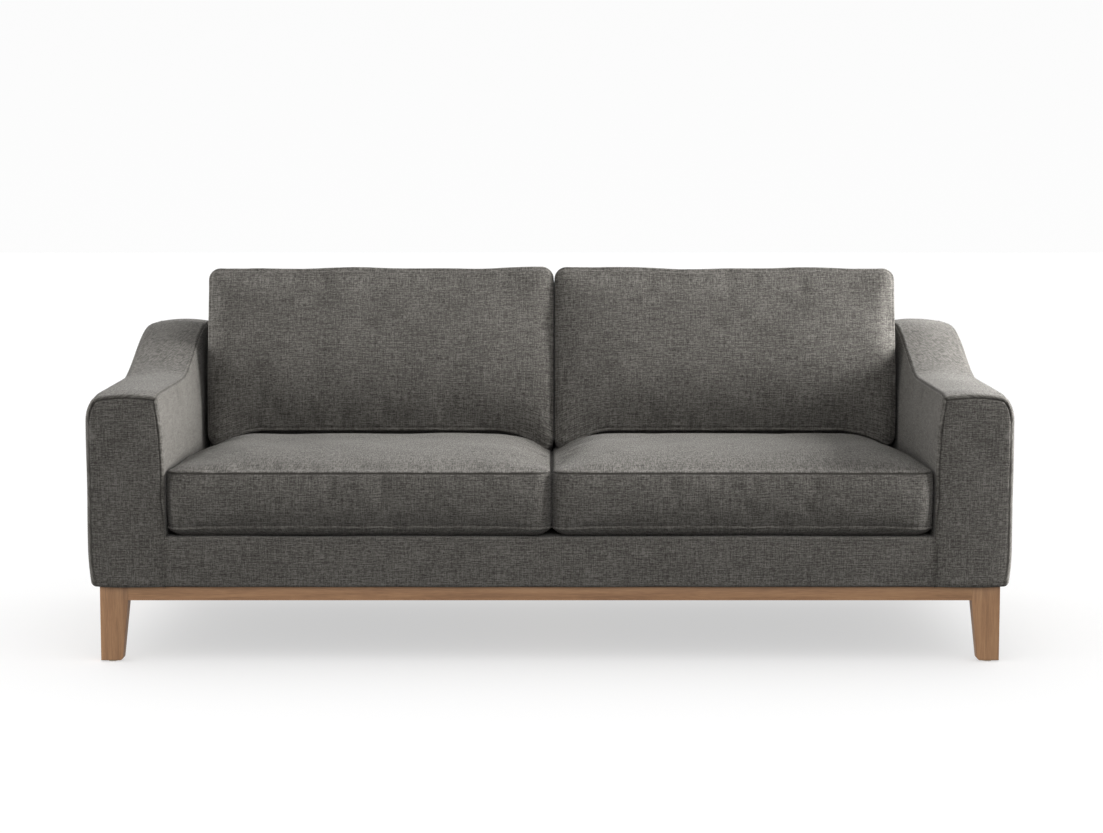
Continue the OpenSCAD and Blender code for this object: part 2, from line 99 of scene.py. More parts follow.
# Cushions
SPLIT_SEAT, SPLIT_BACK = 0.004, 0.010  # the cushions lie a little to the right of the middle
SEAT_SIDE, BACK_SIDE = 0.871, 0.868  # outer sides of the seat and back cushions
SEAT_GAP, BACK_GAP = 0.003, 0.006  # between the two seat cushions, and between the two back cushions
SEAT_THICK, BACK_THICK = 0.1485, 0.163
SEAT_LIFT = 0.0008  # from the CAD cushion's underside
BACK_SEATED = 0.478  # height of a back cushion's lower front edge
FOAM_INSET = 0.0140  # a cushion's foam within its cover
REAR_DIP, REAR_DIP_RUN = 0.020, 0.14  # a seat cushion's sides give way under the back cushion
DIP_FROM, DIP_RUN = -0.05, 0.25  # where that starts, front to back, and how far it takes
SAG_OUTER, SAG_INNER = 0.050, 0.064  # how far a back cushion's lower corners hang
SAG_RUN, SAG_H = 0.15, 0.18  # how far in and how far up that reaches
TOP_WAVE = 0.0028  # unevenness of a back cushion's top edge
SEAT_WRAP, WRAP_TUCK = 0.015, 0.019  # the seat's bottom panel comes up its sides, and tucks in below
BACK_ROLL = 0.003  # how far a cushion's back panel rolls back at its seam
BACK_ROLL_RUN = 0.02
CROWN_RUN = 0.25  # distance over which a crown rises from its seam
ZIP_HALF, ZIP_HALF_H, ZIP_DEPTH = 0.358, 0.020, 0.0084
ZIP_END, ZIP_EDGE = 0.003, 0.002  # how soon the zip's pocket sinks at its ends and its sides
CUSHION_STEP = 0.0095  # grid of a cushion's cover

# Grid lines close to a seam, as distances from it
SEAM_LINES = np.array([0, 1.1, 2.2, 3.4, 4.8, 6.6, 9.0, 12.5, 18.0, 26.0]) / 1000
COARSE = 0.017  # grid of the cloth simulation
SEAM_HOLD = 0.9  # how firmly the simulation holds a seam
SEAM_SHADE = 0.0022  # width of the painted shade line along a seam


# ---- Small mathematics ----

def smooth(x):
    x = np.clip(x, 0, 1)
    return x * x * (3 - 2 * x)


def bell(x, width):
    return np.exp(-(x / width) ** 2)


def dome(distance, run=CROWN_RUN):
    """0 on a seam, rising to 1 at run away from it."""
    return 1 - (1 - np.clip(distance / run, 0, 1)) ** 2


def rim_curve(share):
    """0 at a rolled edge, rising steeply and levelling out to 1."""
    return np.sqrt(1 - (1 - np.clip(share, 0, 1)) ** 2)


def ripples(x, y, seed, wavelength, count=7):
    """Soft random unevenness between about -1 and 1."""
    draw = np.random.default_rng(seed)
    total = np.zeros(np.broadcast(x, y).shape)
    for _ in range(count):
        angle, phase = draw.uniform(0, 2 * math.pi, 2)
        k = 2 * math.pi / (wavelength * draw.uniform(0.7, 1.6))
        total += np.cos(k * (x * math.cos(angle) + y * math.sin(angle)) + phase)
    return total / math.sqrt(count * 1.5)


def seam_lines(length, step, extra=()):
    """Grid lines from 0 to length, close together at both ends and step apart between."""
    near = SEAM_LINES[SEAM_LINES < length * 0.45]
    count = max(2, int(round((length - 2 * near[-1]) / step)))
    middle = np.linspace(near[-1], length - near[-1], count + 1)[1:-1]
    lines = np.concatenate([near, middle, length - near[::-1]])
    for value in extra:
        lines[np.argmin(abs(lines - value))] = value
    return np.sort(lines)


def even_lines(length, step):
    return np.linspace(0, length, max(3, int(round(length / step)) + 1))


def run_along(points):
    """Distance of each point of a line from its start."""
    return np.concatenate([[0], np.cumsum(np.linalg.norm(np.diff(points, axis=0), axis=1))])


def seam_groove(d):
    """Height of the cloth at a distance d from a plain seam: a furrow between two lips."""
    depth, width = 0.0019, 0.0021
    lip, lip_at, lip_width = 0.0005, 0.0065, 0.0035
    return -depth * bell(d, width) + lip * bell(d - lip_at, lip_width)


def seam_welt(d):
    """Height of the cloth at a distance d from a welted seam: a cord with a furrow beside it."""
    cord, width = 0.0019, 0.0019
    furrow, furrow_at, furrow_width = 0.0013, 0.0050, 0.0018
    return cord * bell(d, width) - furrow * bell(d - furrow_at, furrow_width)


# ---- Meshes from grids of points ----

class Panel:
    """A grid of points, with the cloth's own coordinates in metres, a small height over the surface and
    painted shade (dark) along its seams and recesses.
    """

    def __init__(self, points, uv, height=None, dark=None):
        self.points = np.asarray(points, float)
        self.uv = np.asarray(uv, float)
        shape = self.points.shape[:2]
        self.height = np.zeros(shape) if height is None else np.broadcast_to(height, shape)
        self.dark = np.zeros(shape) if dark is None else np.broadcast_to(dark, shape)


def weld(panels):
    """All points of all panels with doubles merged: positions, and each panel's index grid."""
    flat = np.concatenate([p.points.reshape(-1, 3) for p in panels])
    _, first, index = np.unique(np.round(flat, 6), axis=0, return_index=True, return_inverse=True)
    index = index.ravel()
    grids, start = [], 0
    for p in panels:
        size = p.points.shape[0] * p.points.shape[1]
        grids.append(index[start:start + size].reshape(p.points.shape[:2]))
        start += size
    return flat[first], grids


def cell_corners(grid):
    return np.stack([grid[:-1, :-1], grid[1:, :-1], grid[1:, 1:], grid[:-1, 1:]], 2)


def quads(grid):
    return cell_corners(grid).reshape(-1, 4)


def new_object(name, mesh, material=None):
    piece = bpy.data.objects.new(name, mesh)
    bpy.context.scene.collection.objects.link(piece)
    if material:
        mesh.materials.append(material)
    return piece


def grid_mesh(name, verts, faces):
    mesh = bpy.data.meshes.new(name)
    mesh.from_pydata(verts.tolist(), [], faces.tolist())
    mesh.validate()
    return mesh


def face_outward(mesh):
    bm = bmesh.new()
    bm.from_mesh(mesh)
    bmesh.ops.recalc_face_normals(bm, faces=bm.faces)
    bm.to_mesh(mesh)
    bm.free()


def normals_of(mesh):
    out = np.empty(len(mesh.vertices) * 3)
    mesh.vertices.foreach_get("normal", out)
    return out.reshape(-1, 3)


def sew(name, panels, material):
    """One smooth mesh from panels that share their edges.
    Returns the piece and each panel's final points and normals."""
    verts, grids = weld(panels)
    faces = np.concatenate([quads(g) for g in grids])
    corner_uv = np.concatenate([cell_corners(p.uv).reshape(-1, 4, 2) for p in panels])
    keep = np.array([len(set(f)) == 4 for f in faces.tolist()])
    faces, corner_uv = faces[keep], corner_uv[keep]
    mesh = grid_mesh(name, verts, faces)
    layer = mesh.uv_layers.new(name="Cloth")
    layer.data.foreach_set("uv", corner_uv.ravel())
    height, dark = np.zeros(len(verts)), np.zeros(len(verts))
    for p, g in zip(panels, grids):
        height[g.ravel()] = p.height.ravel()
        dark[g.ravel()] = np.maximum(dark[g.ravel()], p.dark.ravel())
    face_outward(mesh)
    verts = verts + normals_of(mesh) * height[:, None]
    mesh.vertices.foreach_set("co", verts.ravel())
    # seam_shade holds painted shade along seams, panel ends and the zip pocket; the cloth material darkens by
    # it
    mark = mesh.attributes.new("seam_shade", "FLOAT", "POINT")
    mark.data.foreach_set("value", dark)
    mesh.shade_smooth()
    mesh.update()
    normals = normals_of(mesh)
    return new_object(name, mesh, material), [(verts[g], normals[g]) for g in grids]


# ---- Cloth simulation ----

CLOTH = {"quality": 6, "mass": 0.25, "tension_stiffness": 20, "compression_stiffness": 20,
         "shear_stiffness": 8, "bending_stiffness": 0.8, "use_pressure": True, "uniform_pressure_force": 3.0}


def blown_up(panels, pinned, slack, frames=18):
    """Where the panels' points go when the cover is filled, with the pinned points held at their seams."""
    verts, grids = weld(panels)
    mesh = grid_mesh("blown_up", verts, np.concatenate([quads(g) for g in grids]))
    face_outward(mesh)
    piece = new_object("blown_up", mesh)
    group = piece.vertex_groups.new(name="seams")
    for grid, mask in zip(grids, pinned):
        for weight in np.unique(mask[mask > 0]):
            group.add([int(i) for i in np.unique(grid[mask == weight])], float(weight), "REPLACE")
    cloth = piece.modifiers.new("cloth", "CLOTH")
    for key, value in CLOTH.items():
        setattr(cloth.settings, key, value)
    cloth.settings.shrink_min = -slack
    cloth.settings.vertex_group_mass = group.name
    cloth.settings.effector_weights.gravity = 0
    cloth.collision_settings.use_collision = False
    cloth.point_cache.frame_start, cloth.point_cache.frame_end = 1, frames
    for number in range(1, frames + 1):
        bpy.context.scene.frame_set(number)
    shown = piece.evaluated_get(bpy.context.evaluated_depsgraph_get())
    moved = np.empty(len(verts) * 3)
    shown.data.vertices.foreach_get("co", moved)
    bpy.data.objects.remove(piece)
    bpy.data.meshes.remove(mesh)
    bpy.context.scene.frame_set(1)
    return [(moved.reshape(-1, 3) - verts)[g] for g in grids]


def weights(coarse, fine):
    """Matrix that carries values on even coarse lines to fine lines by smooth (Catmull-Rom) curves."""
    step = coarse[1] - coarse[0]
    matrix = np.zeros((len(fine), len(coarse)))
    for row, x in enumerate(fine):
        i = min(int((x - coarse[0]) / step), len(coarse) - 2)
        f = (x - coarse[0]) / step - i
        basis = (0.5 * (-f + 2 * f ** 2 - f ** 3), 0.5 * (2 - 5 * f ** 2 + 3 * f ** 3),
                 0.5 * (f + 4 * f ** 2 - 3 * f ** 3), 0.5 * (-f ** 2 + f ** 3))
        for k, value in enumerate(basis):
            matrix[row, min(max(i - 1 + k, 0), len(coarse) - 1)] += value
    return matrix


# ---- Cushions ----

class Cushion:
    """A boxed cushion in its own frame: u and v along its panels, w from the back panel to the front."""

    def __init__(self, size, radius, to_world, **shape):
        self.size, self.radius, self.to_world = size, radius, to_world
        self.crown = shape["crown"]  # height, and the distances it rises over
        self.roll = shape["roll"]  # depth and width of the rolled front edges
        self.low_roll = shape.get("low_roll", 1.0)
        self.turn_in = shape.get("turn_in", (0.0, 0.1))
        self.bulge = shape["bulge"]  # of the boxing: lower, upper and side faces
        self.wrap = shape.get("wrap", 0.0)
        self.seams, self.zip_at, self.seed = shape["seams"], shape["zip_at"], shape["seed"]

    def outline(self, a, b, inset=0.0):
        """Rounded rectangle, filled: a and b run over the sharp rectangle from 0 to its size."""
        half = np.array(self.size[:2]) / 2
        inner_half, r = half - inset, self.radius - inset
        x = (a / half[0] - 1) * inner_half[0]
        y = (b / half[1] - 1) * inner_half[1]
        cx = np.clip((abs(x) - (inner_half[0] - r)) / r, 0, 1)
        cy = np.clip((abs(y) - (inner_half[1] - r)) / r, 0, 1)
        corner = (cx > 0) & (cy > 0)
        round_x = np.sign(x) * (inner_half[0] - r + r * cx * np.sqrt(1 - cy ** 2 / 2))
        round_y = np.sign(y) * (inner_half[1] - r + r * cy * np.sqrt(1 - cx ** 2 / 2))
        return np.where(corner, round_x, x), np.where(corner, round_y, y)

    def rise(self, a, b, front):
        """Height w of the front or the back panel at a and b."""
        da = np.minimum(a, self.size[0] - a)
        db = np.minimum(b, self.size[1] - b)
        if not front:
            return BACK_ROLL * (1 - rim_curve(np.minimum(da, db) / BACK_ROLL_RUN)) - self.size[2] / 2
        crown, across, along = self.crown
        low_roll = np.where(b < self.size[1] / 2, self.low_roll, 1.0)
        edge = 1 - rim_curve(da / self.roll[1]) * (1 - low_roll * (1 - rim_curve(db / self.roll[1])))
        fall = self.turn_in[0] * np.clip(1 - b / self.turn_in[1], 0, 1) ** 2
        return self.size[2] / 2 + crown * dome(da, across) * dome(db, along) - self.roll[0] * edge - fall

    def panel(self, la, lb, front):
        """The front or the back panel over grid lines la and lb, with the distance to its seam."""
        a, b = np.meshgrid(la, lb, indexing="ij")
        u, v = self.outline(a, b, 0.0 if front or not self.wrap else WRAP_TUCK)
        seam = np.minimum.reduce([a, self.size[0] - a, b, self.size[1] - b])
        return u, v, self.rise(a, b, front), seam, np.stack([a, b], -1)

    def rim(self, la, lb):
        """The panel's boundary as (a, b) pairs, once round, with its start repeated at the end."""
        top, side = self.size[0], self.size[1]
        a = np.concatenate([la, np.full(len(lb) - 1, top), la[::-1][1:], np.zeros(len(lb) - 1)])
        b = np.concatenate([np.zeros(len(la)), lb[1:], np.full(len(la) - 1, side), lb[::-1][1:]])
        return a, b

    def boxing(self, la, lb, lw):
        """The strip round the cushion, over its rim and the lines lw from the back panel to the front one."""
        a, b = self.rim(la, lb)
        u, v = self.outline(a, b)
        nu, nv = np.gradient(v), -np.gradient(u)
        nu[0] = nu[-1] = (nu[0] + nu[-1]) / 2
        nv[0] = nv[-1] = (nv[0] + nv[-1]) / 2
        length = np.hypot(nu, nv)
        nu, nv = nu / length, nv / length
        low, high, side = self.bulge
        out = abs(nu) ** 2 * side + np.where(nv > 0, high, low) * nv ** 2
        height = lw[None, :]
        wrap, thick = self.wrap, self.size[2]
        share = np.clip((height - wrap) / (thick - wrap), 0, 1)
        push = out[:, None] * 4 * share * (1 - share)
        u_in, v_in = self.outline(a, b, WRAP_TUCK if wrap else 0.0)
        tuck = np.clip(1 - height / wrap, 0, 1) ** 1.8 if wrap else 0.0
        along = run_along(np.stack([u, v], -1))
        back, front = self.rise(a, b, False)[:, None], self.rise(a, b, True)[:, None]
        w = back + (front - back) * height / thick
        uv = np.stack(np.broadcast_arrays(along[:, None], height), -1)
        u_out = u[:, None] + nu[:, None] * push + (u_in - u)[:, None] * tuck
        v_out = v[:, None] + nv[:, None] * push + (v_in - v)[:, None] * tuck
        return u_out, v_out, w, uv, a, nv

    def grids(self, la, lb, lw):
        return self.panel(la, lb, True), self.panel(la, lb, False), self.boxing(la, lb, lw)


def cushion_lines(c):
    """Fine grid lines over a cushion's panels and its boxing, with lines on its seams and round its zip."""
    width, depth, thick = c.size
    start, end, zip_w = width / 2 - ZIP_HALF, width / 2 + ZIP_HALF, c.zip_at[1]
    la = seam_lines(width, CUSHION_STEP, [start, start + ZIP_END, end - ZIP_END, end])
    lb = seam_lines(depth, CUSHION_STEP)
    lw = c.wrap + seam_lines(thick - c.wrap, CUSHION_STEP * 0.8)
    if c.wrap:
        lw = np.concatenate([c.wrap * (1 - np.cos(np.linspace(0, math.pi / 2, 7)))[:-1], lw])
    lw = np.sort(lw)
    zip_low, zip_high = zip_w - ZIP_HALF_H, zip_w + ZIP_HALF_H
    for value in (zip_low - ZIP_EDGE, zip_low, zip_high, zip_high + ZIP_EDGE):
        lw[np.argmin(abs(lw - value))] = value
    return la, lb, np.unique(lw)


def carried(c, coarse, fine, shift):
    """The simulated shifts on the fine lines. A seam moves with one panel, so the edges stay closed."""
    (ca, cb, cw), (la, lb, lw) = coarse, fine
    ma, mb = weights(ca, la), weights(cb, lb)
    panels = [np.einsum("ia,jb,abk->ijk", ma, mb, s) for s in shift[:2]]
    coarse_rim, fine_rim = (run_along(np.stack(c.rim(a, b), -1)) for a, b in ((ca, cb), (la, lb)))
    along = np.stack([[np.interp(fine_rim, coarse_rim, shift[2][:, j, k]) for k in range(3)]
                      for j in range(len(cw))], 0)
    strip = np.einsum("wj,jki->iwk", weights(cw, lw), along)
    for s, column in zip(panels, (-1, 0)):
        strip[:, column] = np.concatenate([s[:, 0], s[-1, 1:], s[::-1, -1][1:], s[0, ::-1][1:]])
    return [*panels, strip]


def cushion_face(c, grid, shift, is_front):
    """The front or the back panel, with its seam, its unevenness and the puckers beside the seam."""
    u, v, w, seam, uv = grid
    kind = c.seams[0] if is_front else c.seams[1]
    uneven = 0.0012 * ripples(u, v, c.seed + is_front, 0.16) * dome(seam, 0.06)
    pucker = 0.0009 * ripples(u, v, c.seed + 5, 0.045) * bell(seam - 0.016, 0.016)
    height = (kind(seam) if is_front or not c.wrap else 0) + uneven + pucker
    # painted shade along the grooved seam
    dark = bell(seam, SEAM_SHADE) if is_front and kind is seam_groove else 0 * seam
    return Panel(c.to_world(u, v, w) + shift, uv, height, dark)


def cushion_boxing(c, grid, shift):
    """The boxing, with its two seams and the shallow pocket that the zip lies in."""
    u, v, w, uv, a, nv = grid
    h = uv[..., 1]
    lower, upper = abs(h - c.wrap), c.size[2] - h
    uneven = 0.0005 * ripples(uv[..., 0], h, c.seed + 9, 0.13) * dome(np.minimum(upper, lower), 0.05)
    side, zip_w = c.zip_at
    face = (np.sign(nv) == side) & (abs(nv) > 0.98)
    reach = smooth((ZIP_HALF + 0.001 - abs(a - c.size[0] / 2)) / ZIP_END) * face
    pocket = reach[:, None] * smooth((ZIP_HALF_H + 0.0015 - abs(h - zip_w)) / 0.0025)
    height = (c.seams[0](upper) + c.seams[1](lower) + uneven) * (1 - pocket) - ZIP_DEPTH * pocket
    # painted shade along the upper seam and in the sunken zip pocket
    dark = np.maximum(bell(upper, SEAM_SHADE) * (c.seams[0] is seam_groove), 0.6 * pocket)
    return Panel(c.to_world(u, v, w) + shift * (1 - pocket)[..., None], uv + (0, 1.7), height, dark)


def foam_core(name, panels, shift):
    """The foam inside a cover, a few millimetres within it."""
    verts, grids = weld(panels)
    moved = verts.copy()
    for p, s, g in zip(panels, shift, grids):
        moved[g.ravel()] = (p.points + s).reshape(-1, 3)
    mesh = grid_mesh(name, moved, np.concatenate([quads(g) for g in grids]))
    face_outward(mesh)
    out = normals_of(mesh)
    out *= np.sign(np.sum(out * (moved - moved.mean(0)), 1))[:, None]
    moved = moved - out * FOAM_INSET
    mesh.vertices.foreach_set("co", moved.ravel())
    mesh.shade_smooth()
    mesh.update()
    return new_object(name, mesh, MATERIALS["foam"])


def cushion_pieces(kind, side, cad, c, cap, slack):
    """Fills a cushion's cover by cloth simulation, carries that to a fine grid and adds its seams."""
    coarse = [even_lines(length, COARSE) for length in c.size]
    grids = c.grids(*coarse)
    panels = [Panel(c.to_world(*g[:3]), np.zeros(g[0].shape + (2,))) for g in grids]
    held = [np.where(g[3] < 1e-6, SEAM_HOLD, 0.0) for g in grids[:2]] + [np.zeros(grids[2][0].shape)]
    held[2][:, [0, -1]] = SEAM_HOLD
    shift = blown_up(panels, held, slack)
    shift = [cap * np.tanh(s / cap) for s in shift]
    fine = cushion_lines(c)
    front, back, strip = c.grids(*fine)
    moves = carried(c, coarse, fine, shift)
    made = [cushion_face(c, front, moves[0], True), cushion_face(c, back, moves[1], False),
            cushion_boxing(c, strip, moves[2])]
    piece, _ = sew(f"{kind}_{side}", made, MATERIALS["cloth"])
    core = foam_core(f"{kind}_foam_{side}", panels, shift)
    for part, slot, node in ((piece, "upholstery", f"{cad}_cover_{side}"),
                             (core, "foam", f"{cad}_core_{side}")):
        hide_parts(node)
        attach(part, f"{kind}_{side}")


def seat_cushion(side):
    low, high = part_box(f"seat_cover_{side}")
    ends = ((-SEAT_SIDE, SPLIT_SEAT - SEAT_GAP / 2) if side == "left"
            else (SPLIT_SEAT + SEAT_GAP / 2, SEAT_SIDE))
    size = (ends[1] - ends[0], high.y - low.y, SEAT_THICK)
    centre = np.array([sum(ends) / 2, (low.y + high.y) / 2, low.z + SEAT_LIFT + SEAT_THICK / 2])

    def to_world(u, v, w):
        near = np.clip(1 - (size[0] / 2 - abs(u)) / REAR_DIP_RUN, 0, 1) ** 2
        dip = REAR_DIP * near * smooth((v - DIP_FROM) / DIP_RUN) * np.clip(w / SEAT_THICK + 0.5, 0, 1)
        return np.stack(np.broadcast_arrays(centre[0] + u, centre[1] + v, centre[2] + w - dip), -1)

    cushion = Cushion(size, 0.040, to_world, crown=(0.029, 0.15, 0.25), roll=(0.005, 0.025), wrap=SEAT_WRAP,
                      bulge=(0.007, 0.0, 0.002), seams=(seam_groove, seam_welt), zip_at=(1, 0.0712),
                      seed=11 + SIDES[side])
    cap = np.array([0.002, 0.004, 0.005])
    cushion_pieces("seat_cushion", side, "seat", cushion, cap, slack=0.008)


def back_cushion(side):
    sign = SIDES[side]
    ends = ((-BACK_SIDE + 0.003, SPLIT_BACK - BACK_GAP / 2) if side == "left"
            else (SPLIT_BACK + BACK_GAP / 2, BACK_SIDE + 0.004))
    width = ends[1] - ends[0]
    tall = (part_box(f"back_cushion_cover_{side}")[1].z - BACK_SEATED) / math.cos(LEAN)
    rear_z = BACK_SEATED - BACK_THICK * math.sin(LEAN)
    foot = np.array([sum(ends) / 2, INSIDE_BACK + (rear_z - DECK) * math.tan(LEAN) - 0.001, rear_z])

    def to_world(u, v, w):
        up = v + tall / 2
        near = np.clip(1 - (width / 2 - abs(u)) / SAG_RUN, 0, 1) ** 2
        sag = np.where(u * sign > 0, SAG_OUTER, SAG_INNER) * near * np.clip(1 - up / SAG_H, 0, 1) ** 2
        wave = ripples(u + width * (sign + 1), u * 0, 31, 0.30, 5)
        wave = TOP_WAVE * wave * np.clip(up / tall, 0, 1) ** 3
        up, out = np.asarray(up - sag + wave)[..., None], np.asarray(w)[..., None]
        points = foot + OUT_LEAN * BACK_THICK / 2 + UP_LEAN * up + OUT_LEAN * out
        points[..., 0] = foot[0] + u
        return points

    cushion = Cushion((width, tall, BACK_THICK + 0.010), 0.030, to_world, crown=(0.020, 0.25, 0.25),
                      roll=(0.017, 0.034), low_roll=0.4, turn_in=(0.034, 0.17), bulge=(0.006, 0.008, 0.001),
                      seams=(seam_welt, seam_groove), zip_at=(-1, BACK_THICK / 2), seed=41 + sign)
    cap = np.array([0.003, 0.005, 0.004])
    cushion_pieces("back_cushion", side, "back_cushion", cushion, cap, slack=0.006)


# ---- Materials ----

class Nodes:
    """Short names for building a material's nodes."""

    def __init__(self, name):
        self.material = bpy.data.materials.new(name)
        self.material.use_nodes = True
        self.tree = self.material.node_tree
        self.shader = self.tree.nodes["Principled BSDF"]

    def node(self, kind, **values):
        made = self.tree.nodes.new(kind)
        for key, value in values.items():
            setattr(made, key, value)
        return made

    def link(self, source, target):
        self.tree.links.new(source, target)

    def feed(self, socket, value):
        if isinstance(value, bpy.types.NodeSocket):
            self.link(value, socket)
        else:
            socket.default_value = value

    def math(self, operation, a, b=0.0):
        made = self.node("ShaderNodeMath", operation=operation)
        self.feed(made.inputs[0], a)
        self.feed(made.inputs[1], b)
        return made.outputs[0]

    def mixed(self, *parts):
        """Sum of (value, weight) pairs."""
        total = self.math("MULTIPLY", *parts[0])
        for part in parts[1:]:
            total = self.math("ADD", total, self.math("MULTIPLY", *part))
        return total

    def stretched(self, vector, scale):
        made = self.node("ShaderNodeMapping")
        self.link(vector, made.inputs["Vector"])
        made.inputs["Scale"].default_value = scale
        return made.outputs[0]

    def noise(self, vector, scale, detail=2.0, roughness=0.5):
        made = self.node("ShaderNodeTexNoise")
        self.link(self.stretched(vector, scale), made.inputs["Vector"])
        made.inputs["Scale"].default_value = 1.0
        made.inputs["Detail"].default_value = detail
        made.inputs["Roughness"].default_value = roughness
        return made.outputs["Fac"]

    def ramp(self, factor, stops):
        made = self.node("ShaderNodeValToRGB")
        self.link(factor, made.inputs["Fac"])
        elements = made.color_ramp.elements
        while len(elements) < len(stops):
            elements.new(0.5)
        for element, (position, colour) in zip(elements, stops):
            element.position = position
            element.color = (*colour, 1)
        return made.outputs["Color"]

    def bump(self, height, distance, strength=1.0):
        made = self.node("ShaderNodeBump")
        self.link(height, made.inputs["Height"])
        made.inputs["Distance"].default_value = distance
        made.inputs["Strength"].default_value = strength
        self.link(made.outputs[0], self.shader.inputs["Normal"])

    def set(self, **values):
        for key, value in values.items():
            self.shader.inputs[key.replace("_", " ")].default_value = value


def weave_height(n, cloth, pitch):
    """Plain weave: threads that pass over and under each other."""
    split = n.node("ShaderNodeSeparateXYZ")
    n.link(n.stretched(cloth, (1 / pitch, 1 / pitch, 1)), split.inputs[0])
    across, along = split.outputs[0], split.outputs[1]
    checker = n.math("PINGPONG", n.math("ADD", n.math("FLOOR", across), n.math("FLOOR", along)), 1.0)
    warp = n.math("ABSOLUTE", n.math("SINE", n.math("MULTIPLY", across, math.pi)))
    weft = n.math("ABSOLUTE", n.math("SINE", n.math("MULTIPLY", along, math.pi)))
    over = n.math("MULTIPLY", warp, checker)
    under = n.math("MULTIPLY", weft, n.math("SUBTRACT", 1.0, checker))
    return n.math("ADD", over, under)


def cloth_material(name, tones, sheen=0.07):
    """A linen-like melange: slubby threads both ways, a fine weave, streaks that are stronger on upward faces
    as painted raking light, and painted shade in the seams.
    """
    n = Nodes(name)
    uv = n.node("ShaderNodeUVMap", uv_map="Cloth").outputs[0]
    weft_slub, warp_slub = n.noise(uv, (95, 440, 1)), n.noise(uv, (440, 95, 1))
    long_weft, long_warp = n.noise(uv, (18, 400, 1)), n.noise(uv, (400, 20, 1))
    fleck, cloud = n.noise(uv, (330, 330, 1)), n.noise(uv, (9, 9, 1))
    weave = weave_height(n, uv, pitch=0.0019)
    facing = n.node("ShaderNodeSeparateXYZ")
    n.link(n.node("ShaderNodeNewGeometry").outputs["Normal"], facing.inputs[0])
    flat = n.math("POWER", n.math("MAXIMUM", facing.outputs[2], 0.0), 2.0)
    # the nap streaks are the cloth's own tone; their extra weight on upward faces is painted raking light on
    # the tops
    nap_and_raking_light = n.math("SUBTRACT", n.noise(uv, (340, 70, 1)), 0.5)
    mix = n.mixed((weft_slub, 0.27), (warp_slub, 0.17), (long_weft, 0.21), (long_warp, 0.16), (fleck, 0.15),
                  (n.math("MULTIPLY", nap_and_raking_light, flat), 0.34), (cloud, 0.05), (weave, 0.06))
    seam = n.node("ShaderNodeAttribute", attribute_name="seam_shade").outputs["Fac"]
    # painted shade along seams and in recesses darkens the colour
    mix = n.math("SUBTRACT", mix, n.math("MULTIPLY", seam, 0.17))
    n.link(n.ramp(mix, list(zip((0.45, 0.535, 0.62), tones))), n.shader.inputs["Base Color"])
    n.set(Roughness=0.95, Sheen_Weight=sheen, Sheen_Roughness=0.45, Specular_IOR_Level=0.15)
    n.shader.inputs["Sheen Tint"].default_value = (0.95, 0.93, 0.90, 1)
    n.bump(n.math("ADD", n.mixed((weave, 0.4)), n.mixed((weft_slub, 0.6), (warp_slub, 0.6))), 0.0009, 0.8)
    return n.material


def wood_material(name, grain, tones, gloss=0.48):
    """Straight-grained timber. grain is the index of the axis that the grain follows."""
    n = Nodes(name)
    place = n.node("ShaderNodeTexCoord").outputs["Object"]

    def streaks(across, along, detail, roughness=0.5):
        return n.noise(place, [along if axis == grain else across for axis in range(3)], detail, roughness)

    figure, fine, pores = streaks(90, 3.5, 3), streaks(900, 16, 3, 0.6), streaks(520, 30, 2, 0.7)
    mix = n.mixed((figure, 0.50), (fine, 0.32), (n.math("POWER", pores, 2.0), 0.35))
    n.link(n.ramp(mix, list(zip((0.36, 0.50, 0.64), tones))), n.shader.inputs["Base Color"])
    n.link(n.math("ADD", gloss, n.math("MULTIPLY", fine, 0.18)), n.shader.inputs["Roughness"])
    n.bump(mix, 0.0006, 0.35)
    return n.material


def plain_material(name, colour, roughness, metallic=0.0, speck=0.12, scale=300, bump=0.0002):
    """A plain finish with fine mottling in colour, gloss and relief."""
    n = Nodes(name)
    place = n.node("ShaderNodeTexCoord").outputs["Object"]
    grain = n.noise(place, (scale, scale, scale), 3)
    low = tuple(c * (1 - speck) for c in colour)
    high = tuple(min(1, c * (1 + speck)) for c in colour)
    n.link(n.ramp(grain, [(0.3, low), (0.7, high)]), n.shader.inputs["Base Color"])
    n.link(n.math("ADD", roughness - 0.06, n.math("MULTIPLY", grain, 0.12)), n.shader.inputs["Roughness"])
    n.set(Metallic=metallic)
    n.bump(grain, bump, 0.5)
    return n.material


